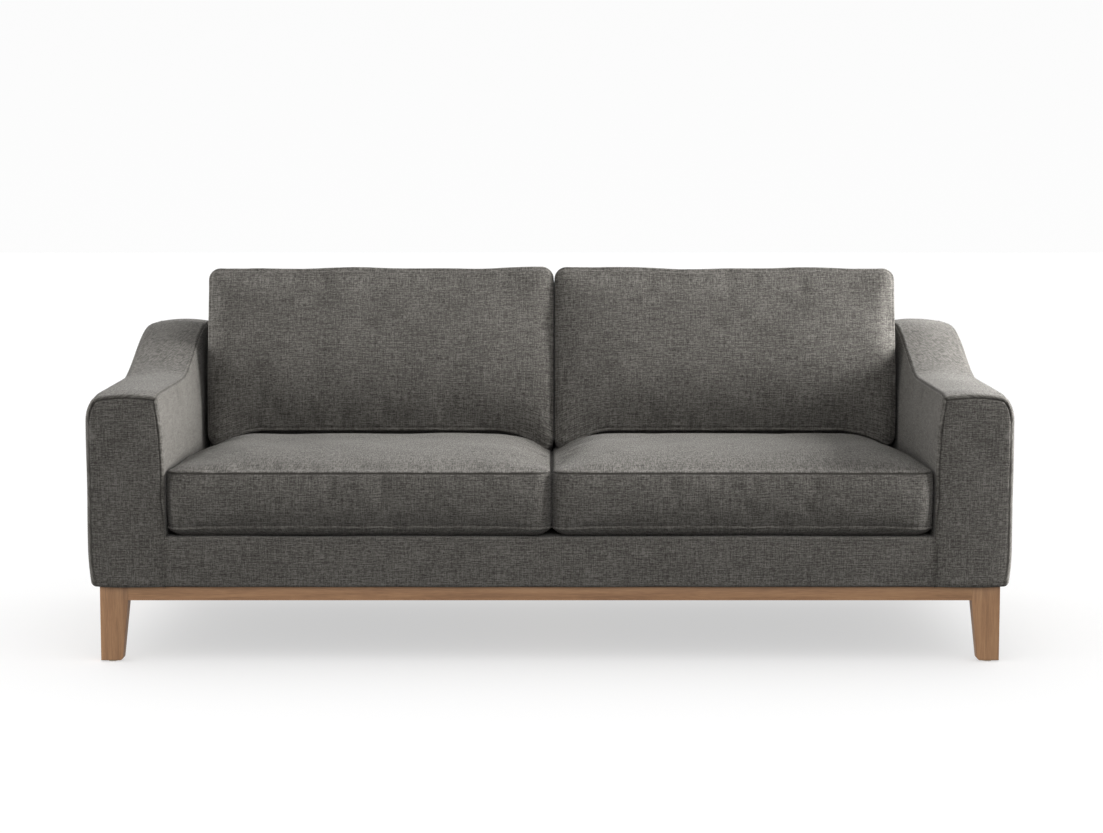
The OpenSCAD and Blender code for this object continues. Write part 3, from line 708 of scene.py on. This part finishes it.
# dark, middle and light tone of each
SOFA_TONES = ((0.022, 0.0200, 0.0175), (0.054, 0.0505, 0.0450), (0.110, 0.104, 0.095))
LINING = ((0.020, 0.020, 0.020), (0.035, 0.035, 0.034), (0.055, 0.055, 0.053))
OAK = ((0.165, 0.080, 0.034), (0.240, 0.124, 0.056), (0.295, 0.163, 0.077))
PINE = ((0.42, 0.30, 0.17), (0.58, 0.43, 0.26), (0.68, 0.53, 0.35))
PLY = ((0.38, 0.26, 0.14), (0.52, 0.38, 0.22), (0.62, 0.48, 0.30))
MATERIALS = {
    "cloth": cloth_material("sofa_cloth", SOFA_TONES),
    "lining": cloth_material("lining_cloth", LINING, 0.1),
    "foam": plain_material("foam", (0.80, 0.74, 0.58), 0.95, scale=500, bump=0.0006),
    "webbing": plain_material("webbing", (0.09, 0.08, 0.075), 0.85, scale=900, bump=0.0004),
    "dust": plain_material("dust_cloth", (0.022, 0.022, 0.023), 0.9, scale=1200, bump=0.0003),
    "steel": plain_material("zinc_steel", (0.62, 0.62, 0.63), 0.34, 1.0, scale=700),
    "brass": plain_material("brass", (0.74, 0.55, 0.26), 0.36, 1.0, scale=700),
    "felt": plain_material("glide", (0.62, 0.58, 0.50), 0.9, scale=900, bump=0.0005),
    "tape": plain_material("zip_tape", (0.075, 0.072, 0.068), 0.85, scale=1600, bump=0.0004),
    "zip_metal": plain_material("zip_metal", (0.30, 0.29, 0.28), 0.38, 0.9, scale=800),
    "board": plain_material("hardboard", (0.33, 0.22, 0.12), 0.8, scale=400, speck=0.25, bump=0.0004),
    "thread": plain_material("thread_dark", (0.045, 0.043, 0.040), 0.8, scale=2000),
}
for axis, letter in enumerate("xyz"):
    MATERIALS[f"oak_{letter}"] = wood_material(f"oak_{letter}", axis, OAK)
    MATERIALS[f"pine_{letter}"] = wood_material(f"pine_{letter}", axis, PINE, 0.6)
MATERIALS["ply"] = wood_material("plywood", 2, PLY, 0.62)

CAD_FINISH = {
    "plinth_cross_rail": "pine_y", "plinth_corner_blocks": "pine_x", "plinth_dowels": "pine_x",
    "plinth_bolts": "steel", "corner_screws": "steel", "plinth_inserts": "brass", "leg_glides": "felt",
    "seat_front_rail": "pine_x", "seat_rear_rail": "pine_x", "seat_side_rails": "pine_y",
    "seat_centre_rail": "pine_y", "seat_webbing_long": "webbing", "seat_webbing_cross": "webbing",
    "seat_deck_pad": "foam", "back_uprights": "pine_z", "back_rails": "pine_x", "back_webbing": "webbing",
    "back_outer_panel": "board",
}
for side in SIDES:
    CAD_FINISH |= {f"arm_panels_{side}": "ply", f"arm_posts_{side}": "pine_z", f"arm_top_board_{side}": "ply",
                   f"arm_bottom_rail_{side}": "pine_y", f"seat_zip_{side}": "tape", f"back_zip_{side}": "tape",
                   f"seat_zip_slider_{side}": "zip_metal", f"back_zip_slider_{side}": "zip_metal"}
for node, finish in CAD_FINISH.items():
    for item in frame["nodes"][node].material_slots:
        item.material = MATERIALS[finish]


# ---- Stitches ----

STITCH_PITCH, STITCH_LENGTH, STITCH_R = 0.0040, 0.0027, 0.00045
STITCH_SIDES = 6
# each ring's place, size and sink
STITCH_RINGS = ((-0.5, 0.5, -0.8), (-0.3, 1.0, 0.0), (0.3, 1.0, 0.0), (0.5, 0.5, -0.8))


def stitch_rings(at, ahead, up):
    """Points of one stitch at a spot, lying along ahead and sunk into the cloth at both ends."""
    along = ahead / np.linalg.norm(ahead)
    side = np.cross(along, up)
    side = side / np.linalg.norm(side)
    up = np.cross(side, along)
    turn = [k * 2 * math.pi / STITCH_SIDES for k in range(STITCH_SIDES)]
    return [at + along * place * STITCH_LENGTH
            + (side * math.cos(a) + up * (math.sin(a) * 0.8 + sink)) * STITCH_R * size
            for place, size, sink in STITCH_RINGS for a in turn]


def stitches(name, paths):
    """Rows of short stitches on the fixed upholstery. Each path is (points, normals) along a seam."""
    n, verts, faces = STITCH_SIDES, [], []
    for points, normals in paths:
        run = run_along(points)
        centres = (np.arange(int(run[-1] / STITCH_PITCH)) + 0.5) * STITCH_PITCH

        def on_path(where, values):
            return np.stack([np.interp(where, run, values[:, k]) for k in range(3)], 1)

        spot = on_path(centres, points)
        for p, t, u in zip(spot, on_path(centres + 0.0005, points) - spot, on_path(centres, normals)):
            if np.linalg.norm(t) < 1e-9:
                continue
            start = len(verts)
            verts += stitch_rings(p, t, u)
            for level in range(start, start + 3 * n, n):
                faces += [(level + k, level + (k + 1) % n, level + (k + 1) % n + n, level + k + n)
                          for k in range(n)]
            faces.append(tuple(start + k for k in reversed(range(n))))
            faces.append(tuple(start + 3 * n + k for k in range(n)))
    mesh = bpy.data.meshes.new(name)
    mesh.from_pydata([tuple(v) for v in verts], [], faces)
    face_outward(mesh)
    mesh.shade_smooth()
    piece = new_object(name, mesh, MATERIALS["thread"])
    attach(piece, "root")


# ---- Arms ----

def arm_top(t):
    rise = ARM_FRONT_H + ARM_FALL * np.minimum(t, SLOPE_FROM) / SLOPE_FROM
    slope = smooth((t - SLOPE_FROM) / (SLOPE_TO - SLOPE_FROM))
    return rise + (ARM_BACK_H - ARM_FRONT_H - ARM_FALL) * slope - ARM_NOSE * (1 - dome(t, ARM_NOSE_RUN))


def arm_columns():
    """The section's columns as (part, share): inner side, inner corner, top, outer corner and outer side."""
    near = SEAM_LINES / 0.45
    side = np.concatenate([[0, 0.010, 0.022, 0.04, 0.06, 0.085], np.linspace(0.11, 0.92, 34),
                           1 - near[7:3:-1], 1 - near[3::-1]])
    top = np.concatenate([near[1:8] * 3.4, np.linspace(0.13, 0.82, 15), 1 - near[7::-1] * 3.4])
    close = np.arange(-10, 11, 2.0)
    corner = np.concatenate([np.linspace(90, OUTER_SEAM + 16, 4), OUTER_SEAM - close,
                             np.linspace(OUTER_SEAM - 16, 0, 9)])
    corner = 1 - np.unique(np.clip(corner, 0, 90))[::-1] / 90
    parts = [side, np.linspace(0, 1, 13)[1:], top, corner[1:], np.unique(1 - side)[1:],
             np.linspace(0, 1, 7)[1:]]
    return np.concatenate([np.full(len(p), i) for i, p in enumerate(parts)]), np.concatenate(parts)


def arm_section(t):
    """x and z of the arm's section at a depth t for each column."""
    top = arm_top(t)
    part, s = ARM_PART, ARM_SHARE
    to_rear = smooth(t / SLOPE_TO)
    rise = OUTER_RISE[0] + (OUTER_RISE[1] - OUTER_RISE[0]) * to_rear
    outer_r = OUTER_R[0] + (OUTER_R[1] - OUTER_R[0]) * to_rear
    inner_x = INNER - 0.0005 + FLARE - IN_SWELL * (1 - smooth((t - SWELL_FROM) / (SWELL_TO - SWELL_FROM)))
    z_in = BOTTOM + s * (top - INNER_R - BOTTOM)
    z_out = BOTTOM + FOOT_R + (1 - s) * (top - rise - BOTTOM - FOOT_R)
    x_in = inner_x - FLARE + FLARE * np.clip(1 - (top - INNER_R - z_in) / FLARE_H, 0, 1) ** 2
    x_out = OUTER - TUCK * np.clip(1 - (z_out - BOTTOM) / TUCK_H, 0, 1) ** 2
    foot_x = OUTER - TUCK * (1 - FOOT_R / TUCK_H) ** 2
    turn = s * math.pi / 2
    flat = s * (OUTER - outer_r - inner_x - INNER_R)
    x = np.choose(part, [x_in, inner_x + INNER_R * (1 - np.cos(turn)), inner_x + INNER_R + flat,
                         OUTER - outer_r * (1 - np.sin(turn)), x_out, foot_x - FOOT_R * (1 - np.cos(turn))])
    z = np.choose(part, [z_in, top - INNER_R * (1 - np.sin(turn)), top + ARM_CROWN * 4 * s * (1 - s),
                         top - rise * (1 - np.cos(turn)), z_out, BOTTOM + FOOT_R * (1 - np.sin(turn))])
    return x, z


ARM_PART, ARM_SHARE = arm_columns()
IN_SEAM = int(np.argmin(abs(ARM_SHARE - 0.5) + 9 * (ARM_PART != 1)))
OUT_SEAM = int(np.argmin(abs(ARM_SHARE * 90 - 90 + OUTER_SEAM) + 999 * (ARM_PART != 3)))
ARM_LAST = len(ARM_PART) - 1
ARM_TURN = np.radians([90, 78, 66, 54, 42, 30, 20, 10, 0])  # rings round the front and the rear edge


def coons(left, top, right, bottom):
    """Fills a four-sided outline: left and right run upwards, bottom and top from left to right."""
    r, c = line_share(left)[:, None, None], line_share(top)[None, :, None]
    ruled = (1 - c) * left[:, None] + c * right[:, None] + (1 - r) * bottom[None] + r * top[None]
    corners = ((1 - r) * (1 - c) * bottom[0] + (1 - r) * c * bottom[-1] + r * (1 - c) * top[0]
               + r * c * top[-1])
    return ruled - corners


def line_share(points):
    run = run_along(points)
    return run / run[-1]


def arm_edge():
    """Radius of the front panel's edge at each column: tight beside the seat cushion, soft outside."""
    heights = arm_section(np.zeros(len(ARM_PART)))[1]
    inner_r = INNER_EDGE + INNER_EDGE_GAIN * smooth((heights - DECK) / 0.10)
    return inner_r + (EDGE_R - inner_r) * smooth((np.arange(len(ARM_PART)) - OUT_SEAM + 14) / 24)


def arm_ring(t, inset):
    """The section at a depth t, drawn in by inset."""
    t = t + np.zeros(len(ARM_PART))
    x, z = arm_section(t)
    dx, dz = np.gradient(x), np.gradient(z)
    length = np.hypot(dx, dz)
    return np.stack([x + dz / length * inset, t, z - dx / length * inset], -1)


def arm_tube(depth):
    """The arm's rings from front to rear as points (column, ring), and their distances to the front seam."""
    edge_r = arm_edge()
    rings = [(edge_r * (1 - math.sin(a)), edge_r * (1 - math.cos(a)), edge_r * (math.pi / 2 - a))
             for a in ARM_TURN]
    rings += [(edge_r + s, 0, edge_r * math.pi / 2 + s) for s in (0.003, 0.0065, 0.012, 0.018)]
    rings += [(t, 0, t) for t in np.linspace(0.035, depth - 0.022, 92)]
    rings += [(depth - REAR_R * (1 - math.sin(a)), REAR_R * (1 - math.cos(a)), 1.0) for a in ARM_TURN[::-1]]
    to_front = np.stack([distance + np.zeros(len(ARM_PART)) for _, _, distance in rings], 1)
    return np.stack([arm_ring(t, inset) for t, inset, _ in rings], 1), to_front


def arm_wrap(tube, to_front, seed):
    """The panels along the arm: inner side, top and outer side, with the seams between them."""
    to_rear = np.linalg.norm(tube - tube[:, -1:, :], axis=2)
    run = np.linalg.norm(np.diff(tube, axis=0), axis=2)
    girth = np.concatenate([np.zeros((1, tube.shape[1])), np.cumsum(run, axis=0)])
    d_in, d_out = abs(girth - girth[IN_SEAM]), abs(girth - girth[OUT_SEAM])
    off_seams = dome(np.minimum.reduce([d_in, d_out, to_front]), 0.04)
    uneven = 0.0008 * ripples(tube[..., 1], girth, seed, 0.22) * off_seams
    on_sides = np.where((ARM_PART == 0) | (ARM_PART > 3), 0.4, 1.0)[:, None]
    height = (seam_groove(d_in) * 0.6 + seam_groove(d_out) * 0.5 + seam_groove(to_front) * on_sides
              + seam_groove(to_rear) * 0.8 + uneven)
    # painted shade along the front, rear, inner and outer seams
    dark = np.maximum.reduce([0.5 * on_sides * bell(to_front, 0.0016), 0.5 * bell(to_rear, 0.0016),
                              0.4 * bell(d_out, 0.0012), 0.7 * bell(d_in, 0.0018)])
    return Panel(tube, np.stack([girth, tube[..., 1]], -1), height, dark)


def arm_end(tube, ring, bulge, seed, strength):
    """The front or the rear panel: the tube's end filled in, softly domed, and turned in along its hem."""
    rim = tube[:, ring]
    left, top, right = rim[:IN_SEAM + 1], rim[IN_SEAM:ARM_LAST - IN_SEAM + 1], rim[ARM_LAST - IN_SEAM:][::-1]
    share = line_share(top)[:, None]
    face = coons(left, top, right, left[0] * (1 - share) + right[0] * share)
    rims = [np.linalg.norm(face - edge, axis=2) for edge in (left[:, None], right[:, None], top[None])]
    rim_d = np.minimum.reduce(rims)
    groove = np.minimum.reduce([seam_groove(d) * f for d, f in zip(rims, (0.5, 0.4, 1.0))])
    shade = np.maximum.reduce([bell(d, 0.0018) * f for d, f in zip(rims, (1.0, 0.5, 1.0))])
    face[..., 1] += bulge * dome(rim_d, 0.05)
    uneven = 0.0007 * ripples(face[..., 0], face[..., 2], seed, 0.2) * dome(rim_d, 0.05)
    low = np.clip(1 - (face[..., 2] - BOTTOM) / HEM_R, 0, 1)
    face[..., 1] -= math.copysign(HEM_R, bulge) * (1 - np.sqrt(1 - low ** 2)) * smooth(rim_d / 0.01)
    return Panel(face, face[..., [0, 2]] + (3.1, 0), groove * strength + uneven, 0.5 * strength * shade)


def arm(side):
    sign = SIDES[side]
    tube, to_front = arm_tube(REAR - FRONT)
    front, rear = arm_end(tube, 0, -0.0022, 5, 1.0), arm_end(tube, -1, 0.0012, 6, 0.8)
    under = coons(tube[0], rear.points[0], tube[-1], front.points[0])
    panels = [arm_wrap(tube, to_front, 71 + sign), front, rear, Panel(under, under[..., [0, 1]])]
    for p in panels:
        p.points[..., 1] += FRONT
        if sign < 0:
            p.points[..., 0] *= -1
    piece, shapes = sew(f"arm_upholstery_{side}", panels, MATERIALS["cloth"])
    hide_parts(f"arm_cover_{side}", f"arm_padding_{side}")
    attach(piece, "root")
    points, normals = shapes[0]
    first, last = len(ARM_TURN) - 1, -len(ARM_TURN)
    rows = [(points[c, first:last], normals[c, first:last])
            for c in (IN_SEAM + 5, OUT_SEAM - 4, OUT_SEAM + 4)]
    rows += [(points[OUT_SEAM + 6:-5, r], normals[OUT_SEAM + 6:-5, r]) for r in (first - 3, first)]
    stitches(f"arm_stitches_{side}", rows)


# ---- Fixed back, front border, deck and dust cover ----

def swept(name, section, x0, x1, seed, replaced, seams=(), end_r=0.004, step=0.014):
    """A strip of cloth over padding: a section of (y, z) points carried along X, with rounded ends.
    seams are indices of section points that lie on a seam."""
    section = np.array(section)
    turn = np.radians([90, 60, 30, 0])
    inset = np.append(end_r * (1 - np.cos(turn)), 0)
    at = np.append(end_r * (1 - np.sin(turn)), 0.012)
    margin = 0.025
    count = max(4, int((x1 - x0 - 2 * margin) / step))
    xs = np.concatenate([x0 + at, np.linspace(x0 + margin, x1 - margin, count), (x1 - at)[::-1]])
    insets = np.concatenate([inset, np.zeros(count), inset[::-1]])
    dy, dz = np.gradient(section[:, 0]), np.gradient(section[:, 1])
    length = np.hypot(dy, dz)
    run = run_along(section)[:, None] + np.zeros(len(xs))
    points = np.empty((*run.shape, 3))
    points[..., 0] = xs
    points[..., 1] = section[:, 0, None] + (dz / length)[:, None] * insets
    points[..., 2] = section[:, 1, None] - (dy / length)[:, None] * insets
    edge = np.minimum(points[..., 0] - x0, x1 - points[..., 0])
    height = 0.0009 * ripples(points[..., 0], run, seed, 0.25) * dome(edge, 0.05)
    # painted shade at the strip's ends, where it meets the arms
    dark = 0.4 * bell(edge, 0.0015)
    for index in seams:
        height = height + seam_groove(abs(run - run[index]))
        # painted shade along each seam
        dark = np.maximum(dark, bell(abs(run - run[index]), SEAM_SHADE))
    uv = np.stack([points[..., 0] + seed * 0.37, run], -1)
    piece, shapes = sew(name, [Panel(points, uv, height, dark)], MATERIALS["cloth"])
    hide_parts(*replaced)
    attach(piece, "root")
    return piece, shapes[0], run[:, 0]


def arc(centre, radius, start, end, steps):
    """Points on an arc in the (y, z) plane; angles in degrees."""
    return [(centre[0] + radius * math.cos(math.radians(a)), centre[1] + radius * math.sin(math.radians(a)))
            for a in np.linspace(start, end, steps)]


def line(start, end, step=0.012):
    """Points between start and end, closer together near both."""
    start, end = np.array(start), np.array(end)
    length = np.linalg.norm(end - start)
    return [tuple(start + (end - start) * s / length) for s in seam_lines(length, step)]


def fixed_back():
    r_front, r_rear = 0.026, 0.005
    top, rear, hem_z = BACK_TOP + PROUD, REAR + PROUD, BOTTOM - 0.0004
    slope = math.degrees(LEAN)
    y_top = INSIDE_BACK + (top - DECK) * math.tan(LEAN)
    c_front = (y_top + r_front / math.cos(LEAN) * (1 - math.sin(LEAN)) + 0.001, top - r_front)
    c_rear = (rear - r_rear, top - r_rear)
    inside = line((INSIDE_BACK + 0.0005, DECK), (c_front[0] - r_front * math.cos(LEAN),
                                                 c_front[1] + r_front * math.sin(LEAN)), 0.02)
    front_arc = arc(c_front, r_front, 180 - slope, 90, 12)
    band = line((c_front[0], top), (c_rear[0], top))
    rear_arc = arc(c_rear, r_rear, 90, 0, 9)
    outside = line((rear, c_rear[1]), (rear, BOTTOM), 0.02)
    hem = [(rear - 0.004, hem_z), (rear - 0.02, hem_z)]
    section = inside + front_arc[1:] + band[1:] + rear_arc[1:] + outside[1:] + hem
    seam_at = len(inside) + len(front_arc) + len(band) - 3 + len(rear_arc) // 2
    end = INNER + BACK_TUCK
    piece, (points, normals), run = swept("back_upholstery", section, -end, end, 3,
                                          ("back_cover", "back_padding"), seams=(seam_at,))
    rows = [int(np.argmin(abs(run - run[seam_at] - d))) for d in (-0.008, 0.008)]
    stitches("back_stitches", [(points[i], normals[i]) for i in rows])


def front_border():
    front, top, r = FRONT + 0.0008, DECK - 0.0004, 0.005
    wrap_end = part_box("front_border_cover")[1].y
    hem = [(front + 0.036, BOTTOM - 0.0004), (front + 0.015, BOTTOM - 0.0004)]
    low_arc = arc((front + r, BOTTOM + r), r, 270, 180, 6)
    face = line((front, BOTTOM + r), (front, top - r))
    face = [(y - 0.0022 * math.sin(math.pi * (z - BOTTOM) / (top - BOTTOM)) ** 2, z) for y, z in face]
    top_arc = arc((front + r, top - r), r, 180, 90, 8)
    deck = line((front + r, top), (wrap_end, top))
    section = hem + low_arc + face[1:] + top_arc[1:] + deck[1:]
    piece, _, _ = swept("front_border", section[::-1], -INNER + 0.0002, INNER - 0.0002, 4,
                        ("front_border_cover", "front_border_padding"), end_r=0.0015)


def cloth_sheet(name, corners, z, sag, seed, material, replaced, step=0.02):
    """A flat sheet of lining with a little slack."""
    x0, x1, y0, y1 = corners
    xs, ys = even_lines(x1 - x0, step) + x0, even_lines(y1 - y0, step) + y0
    x, y = np.meshgrid(xs, ys, indexing="ij")
    edge = np.minimum(np.minimum(x - x0, x1 - x), np.minimum(y - y0, y1 - y))
    height = (-sag * (0.7 + 0.3 * ripples(x, y, seed, 0.5))) * dome(edge, 0.2)
    points = np.stack([x, y, z + height], -1)
    piece, _ = sew(name, [Panel(points, np.stack([x, y], -1))], material)
    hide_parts(replaced)
    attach(piece, "root")


# ---- Plinth ----

def stacked_block(name, levels, material, bevel, node):
    """A block from rectangles stacked along Z, each (z, x0, x1, y0, y1), with its long edges eased."""
    mesh = bpy.data.meshes.new(name)
    bm = bmesh.new()
    rows = []
    for z, x0, x1, y0, y1 in levels:
        rows.append([bm.verts.new((x, y, z)) for x, y in ((x0, y0), (x1, y0), (x1, y1), (x0, y1))])
    for low, high in zip(rows, rows[1:]):
        for k in range(4):
            bm.faces.new((low[k], low[(k + 1) % 4], high[(k + 1) % 4], high[k]))
    bm.faces.new(rows[0][::-1])
    bm.faces.new(rows[-1])
    bmesh.ops.recalc_face_normals(bm, faces=bm.faces)
    edges = [e for e in bm.edges if e.calc_face_angle(0) > math.radians(40)]
    bmesh.ops.bevel(bm, geom=edges, offset=bevel, segments=2, profile=0.6, affect="EDGES")
    bm.to_mesh(mesh)
    bm.free()
    mesh.shade_smooth()
    mesh.set_sharp_from_angle(angle=math.radians(50))
    piece = new_object(name, mesh, material)
    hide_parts(node)
    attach(piece, "root")
    return piece


def leg(end, side):
    low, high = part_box(f"leg_{end}_{side}")
    sx, sy = SIDES[side], (-1 if end == "front" else 1)
    rail_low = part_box("plinth_front_rail")[0].z
    width, depth = high.x - low.x, high.y - low.y
    foot_w, foot_t, foot_r = 0.050, 0.028, 0.008
    levels = []
    for tuck_turn in (*np.linspace(90, 0, 7), None, None):
        if tuck_turn is None:
            z = rail_low if levels[-1][0] < rail_low - 1e-6 else high.z
            tuck = 0
        else:
            angle = math.radians(tuck_turn)
            z, tuck = low.z + foot_r * (1 - math.sin(angle)), foot_r * (1 - math.cos(angle))
        share = min(1, (z - low.z) / (rail_low - low.z))
        w = foot_w + (width - foot_w) * share - tuck
        d = foot_t + (depth - foot_t) * share
        xs = (high.x - w, high.x) if sx > 0 else (low.x, low.x + w)
        ys = (low.y, low.y + d) if sy < 0 else (high.y - d, high.y)
        levels.append((z, *xs, *ys))
    stacked_block(f"oak_leg_{end}_{side}", levels, MATERIALS["oak_z"], 0.0012, f"leg_{end}_{side}")


def rail(node, grain):
    low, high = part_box(node)
    levels = [(low.z, low.x, high.x, low.y, high.y), (high.z, low.x, high.x, low.y, high.y)]
    stacked_block(f"oak_{node}", levels, MATERIALS[grain], 0.0008, node)


for side in SIDES:
    for end in ("front", "rear"):
        leg(end, side)
    rail(f"plinth_side_rail_{side}", "oak_y")
rail("plinth_front_rail", "oak_x")
rail("plinth_rear_rail", "oak_x")

for side in SIDES:
    arm(side)
fixed_back()
front_border()
deck_low, deck_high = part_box("deck_cloth")
cloth_sheet("seat_deck", (-INNER + 0.001, INNER - 0.001, deck_low.y - 0.004, deck_high.y), deck_high.z,
            0.0008, 8, MATERIALS["lining"], "deck_cloth")
dust_low, dust_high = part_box("dust_cover")
cloth_sheet("dust_sheet", (dust_low.x, dust_high.x, dust_low.y, dust_high.y), dust_low.z + 0.0006, 0.0015, 9,
            MATERIALS["dust"], "dust_cover")
for side in SIDES:
    seat_cushion(side)
    back_cushion(side)

# ---- Floor, light and camera ----

WHITE, FLOOR_GLOW, SKY_ON_FLOOR = 0.982, 0.545, 0.86
SKY = ((-1, 0.20), (-0.15, 0.26), (-0.06, WHITE), (0.35, 0.95), (0.8, 1.0))  # brightness at heights z

def floor():
    """A white floor that shows the soft shade under the sofa, and throws no light back at it."""
    bm = bmesh.new()
    bmesh.ops.create_grid(bm, x_segments=1, y_segments=1, size=40)
    mesh = bpy.data.meshes.new("floor")
    bm.to_mesh(mesh)
    bm.free()
    n = Nodes("floor")
    n.set(Roughness=1.0, Specular_IOR_Level=0.0, Emission_Strength=FLOOR_GLOW)
    n.shader.inputs["Base Color"].default_value = (*[(WHITE - FLOOR_GLOW) / SKY_ON_FLOOR] * 3, 1)
    n.shader.inputs["Emission Color"].default_value = (1, 1, 1, 1)
    piece = new_object("floor", mesh, n.material)
    piece.visible_diffuse = False
    return piece


def world():
    """An even white surround: paler overhead, dim below the horizon."""
    made = bpy.data.worlds.new("studio")
    bpy.context.scene.world = made
    made.use_nodes = True
    nodes, links = made.node_tree.nodes, made.node_tree.links
    place, split = nodes.new("ShaderNodeTexCoord"), nodes.new("ShaderNodeSeparateXYZ")
    level, ramp = nodes.new("ShaderNodeMapRange"), nodes.new("ShaderNodeValToRGB")
    level.inputs["From Min"].default_value = -1
    elements = ramp.color_ramp.elements
    while len(elements) < len(SKY):
        elements.new(0.5)
    for element, (z, value) in zip(elements, SKY):
        element.position = (z + 1) / 2
        element.color = (*[value / SKY[-1][1]] * 3, 1)
    links.new(place.outputs["Generated"], split.inputs[0])
    links.new(split.outputs[2], level.inputs["Value"])
    links.new(level.outputs[0], ramp.inputs["Fac"])
    links.new(ramp.outputs["Color"], nodes["Background"].inputs[0])
    nodes["Background"].inputs[1].default_value = SKY[-1][1]


def softbox(name, place, target, size, power, unlit):
    """A large soft light; the pieces in unlit don't receive it."""
    data = bpy.data.lights.new(name, "AREA")
    data.shape, data.size, data.energy = "SQUARE", size, power
    lamp = bpy.data.objects.new(name, data)
    bpy.context.scene.collection.objects.link(lamp)
    lamp.location = place
    lamp.rotation_mode = "QUATERNION"
    lamp.rotation_quaternion = (Vector(target) - Vector(place)).to_track_quat("-Z", "Y")
    lit = bpy.data.collections.new(name + "_receivers")
    for piece in unlit:
        lit.objects.link(piece)
    lamp.light_linking.receiver_collection = lit
    for item in lit.collection_objects:
        item.light_linking.link_state = "EXCLUDE"


def camera():
    distance, height, right, tilt = 5.007, 1.048, 0.0034, 5.518
    focal_px, image_w, sensor = 2229.6, 1103, 36
    data = bpy.data.cameras.new("camera")
    data.sensor_width = sensor
    data.lens = sensor * focal_px / image_w
    data.clip_end = 100
    view = bpy.data.objects.new("camera", data)
    bpy.context.scene.collection.objects.link(view)
    view.location = (right, FRONT - distance, height)
    view.rotation_euler = (math.radians(90 - tilt), 0, 0)
    bpy.context.scene.camera = view


bpy.context.scene.view_settings.view_transform = "Standard"
world()
ground = [floor()]
wood = [piece for piece in bpy.data.objects if piece.name.startswith("oak_")]
softbox("key", (4.4, 0.1, 1.7), (0.0, 0.0, 0.4), 2.4, 1270, ground + wood)
softbox("front", (0.6, -4.6, 2.9), (0.0, 0.0, 0.5), 3.0, 108, ground)
softbox("fill", (-4.4, 0.0, 1.0), (0.0, 0.0, 0.5), 2.4, 330, ground)
camera()
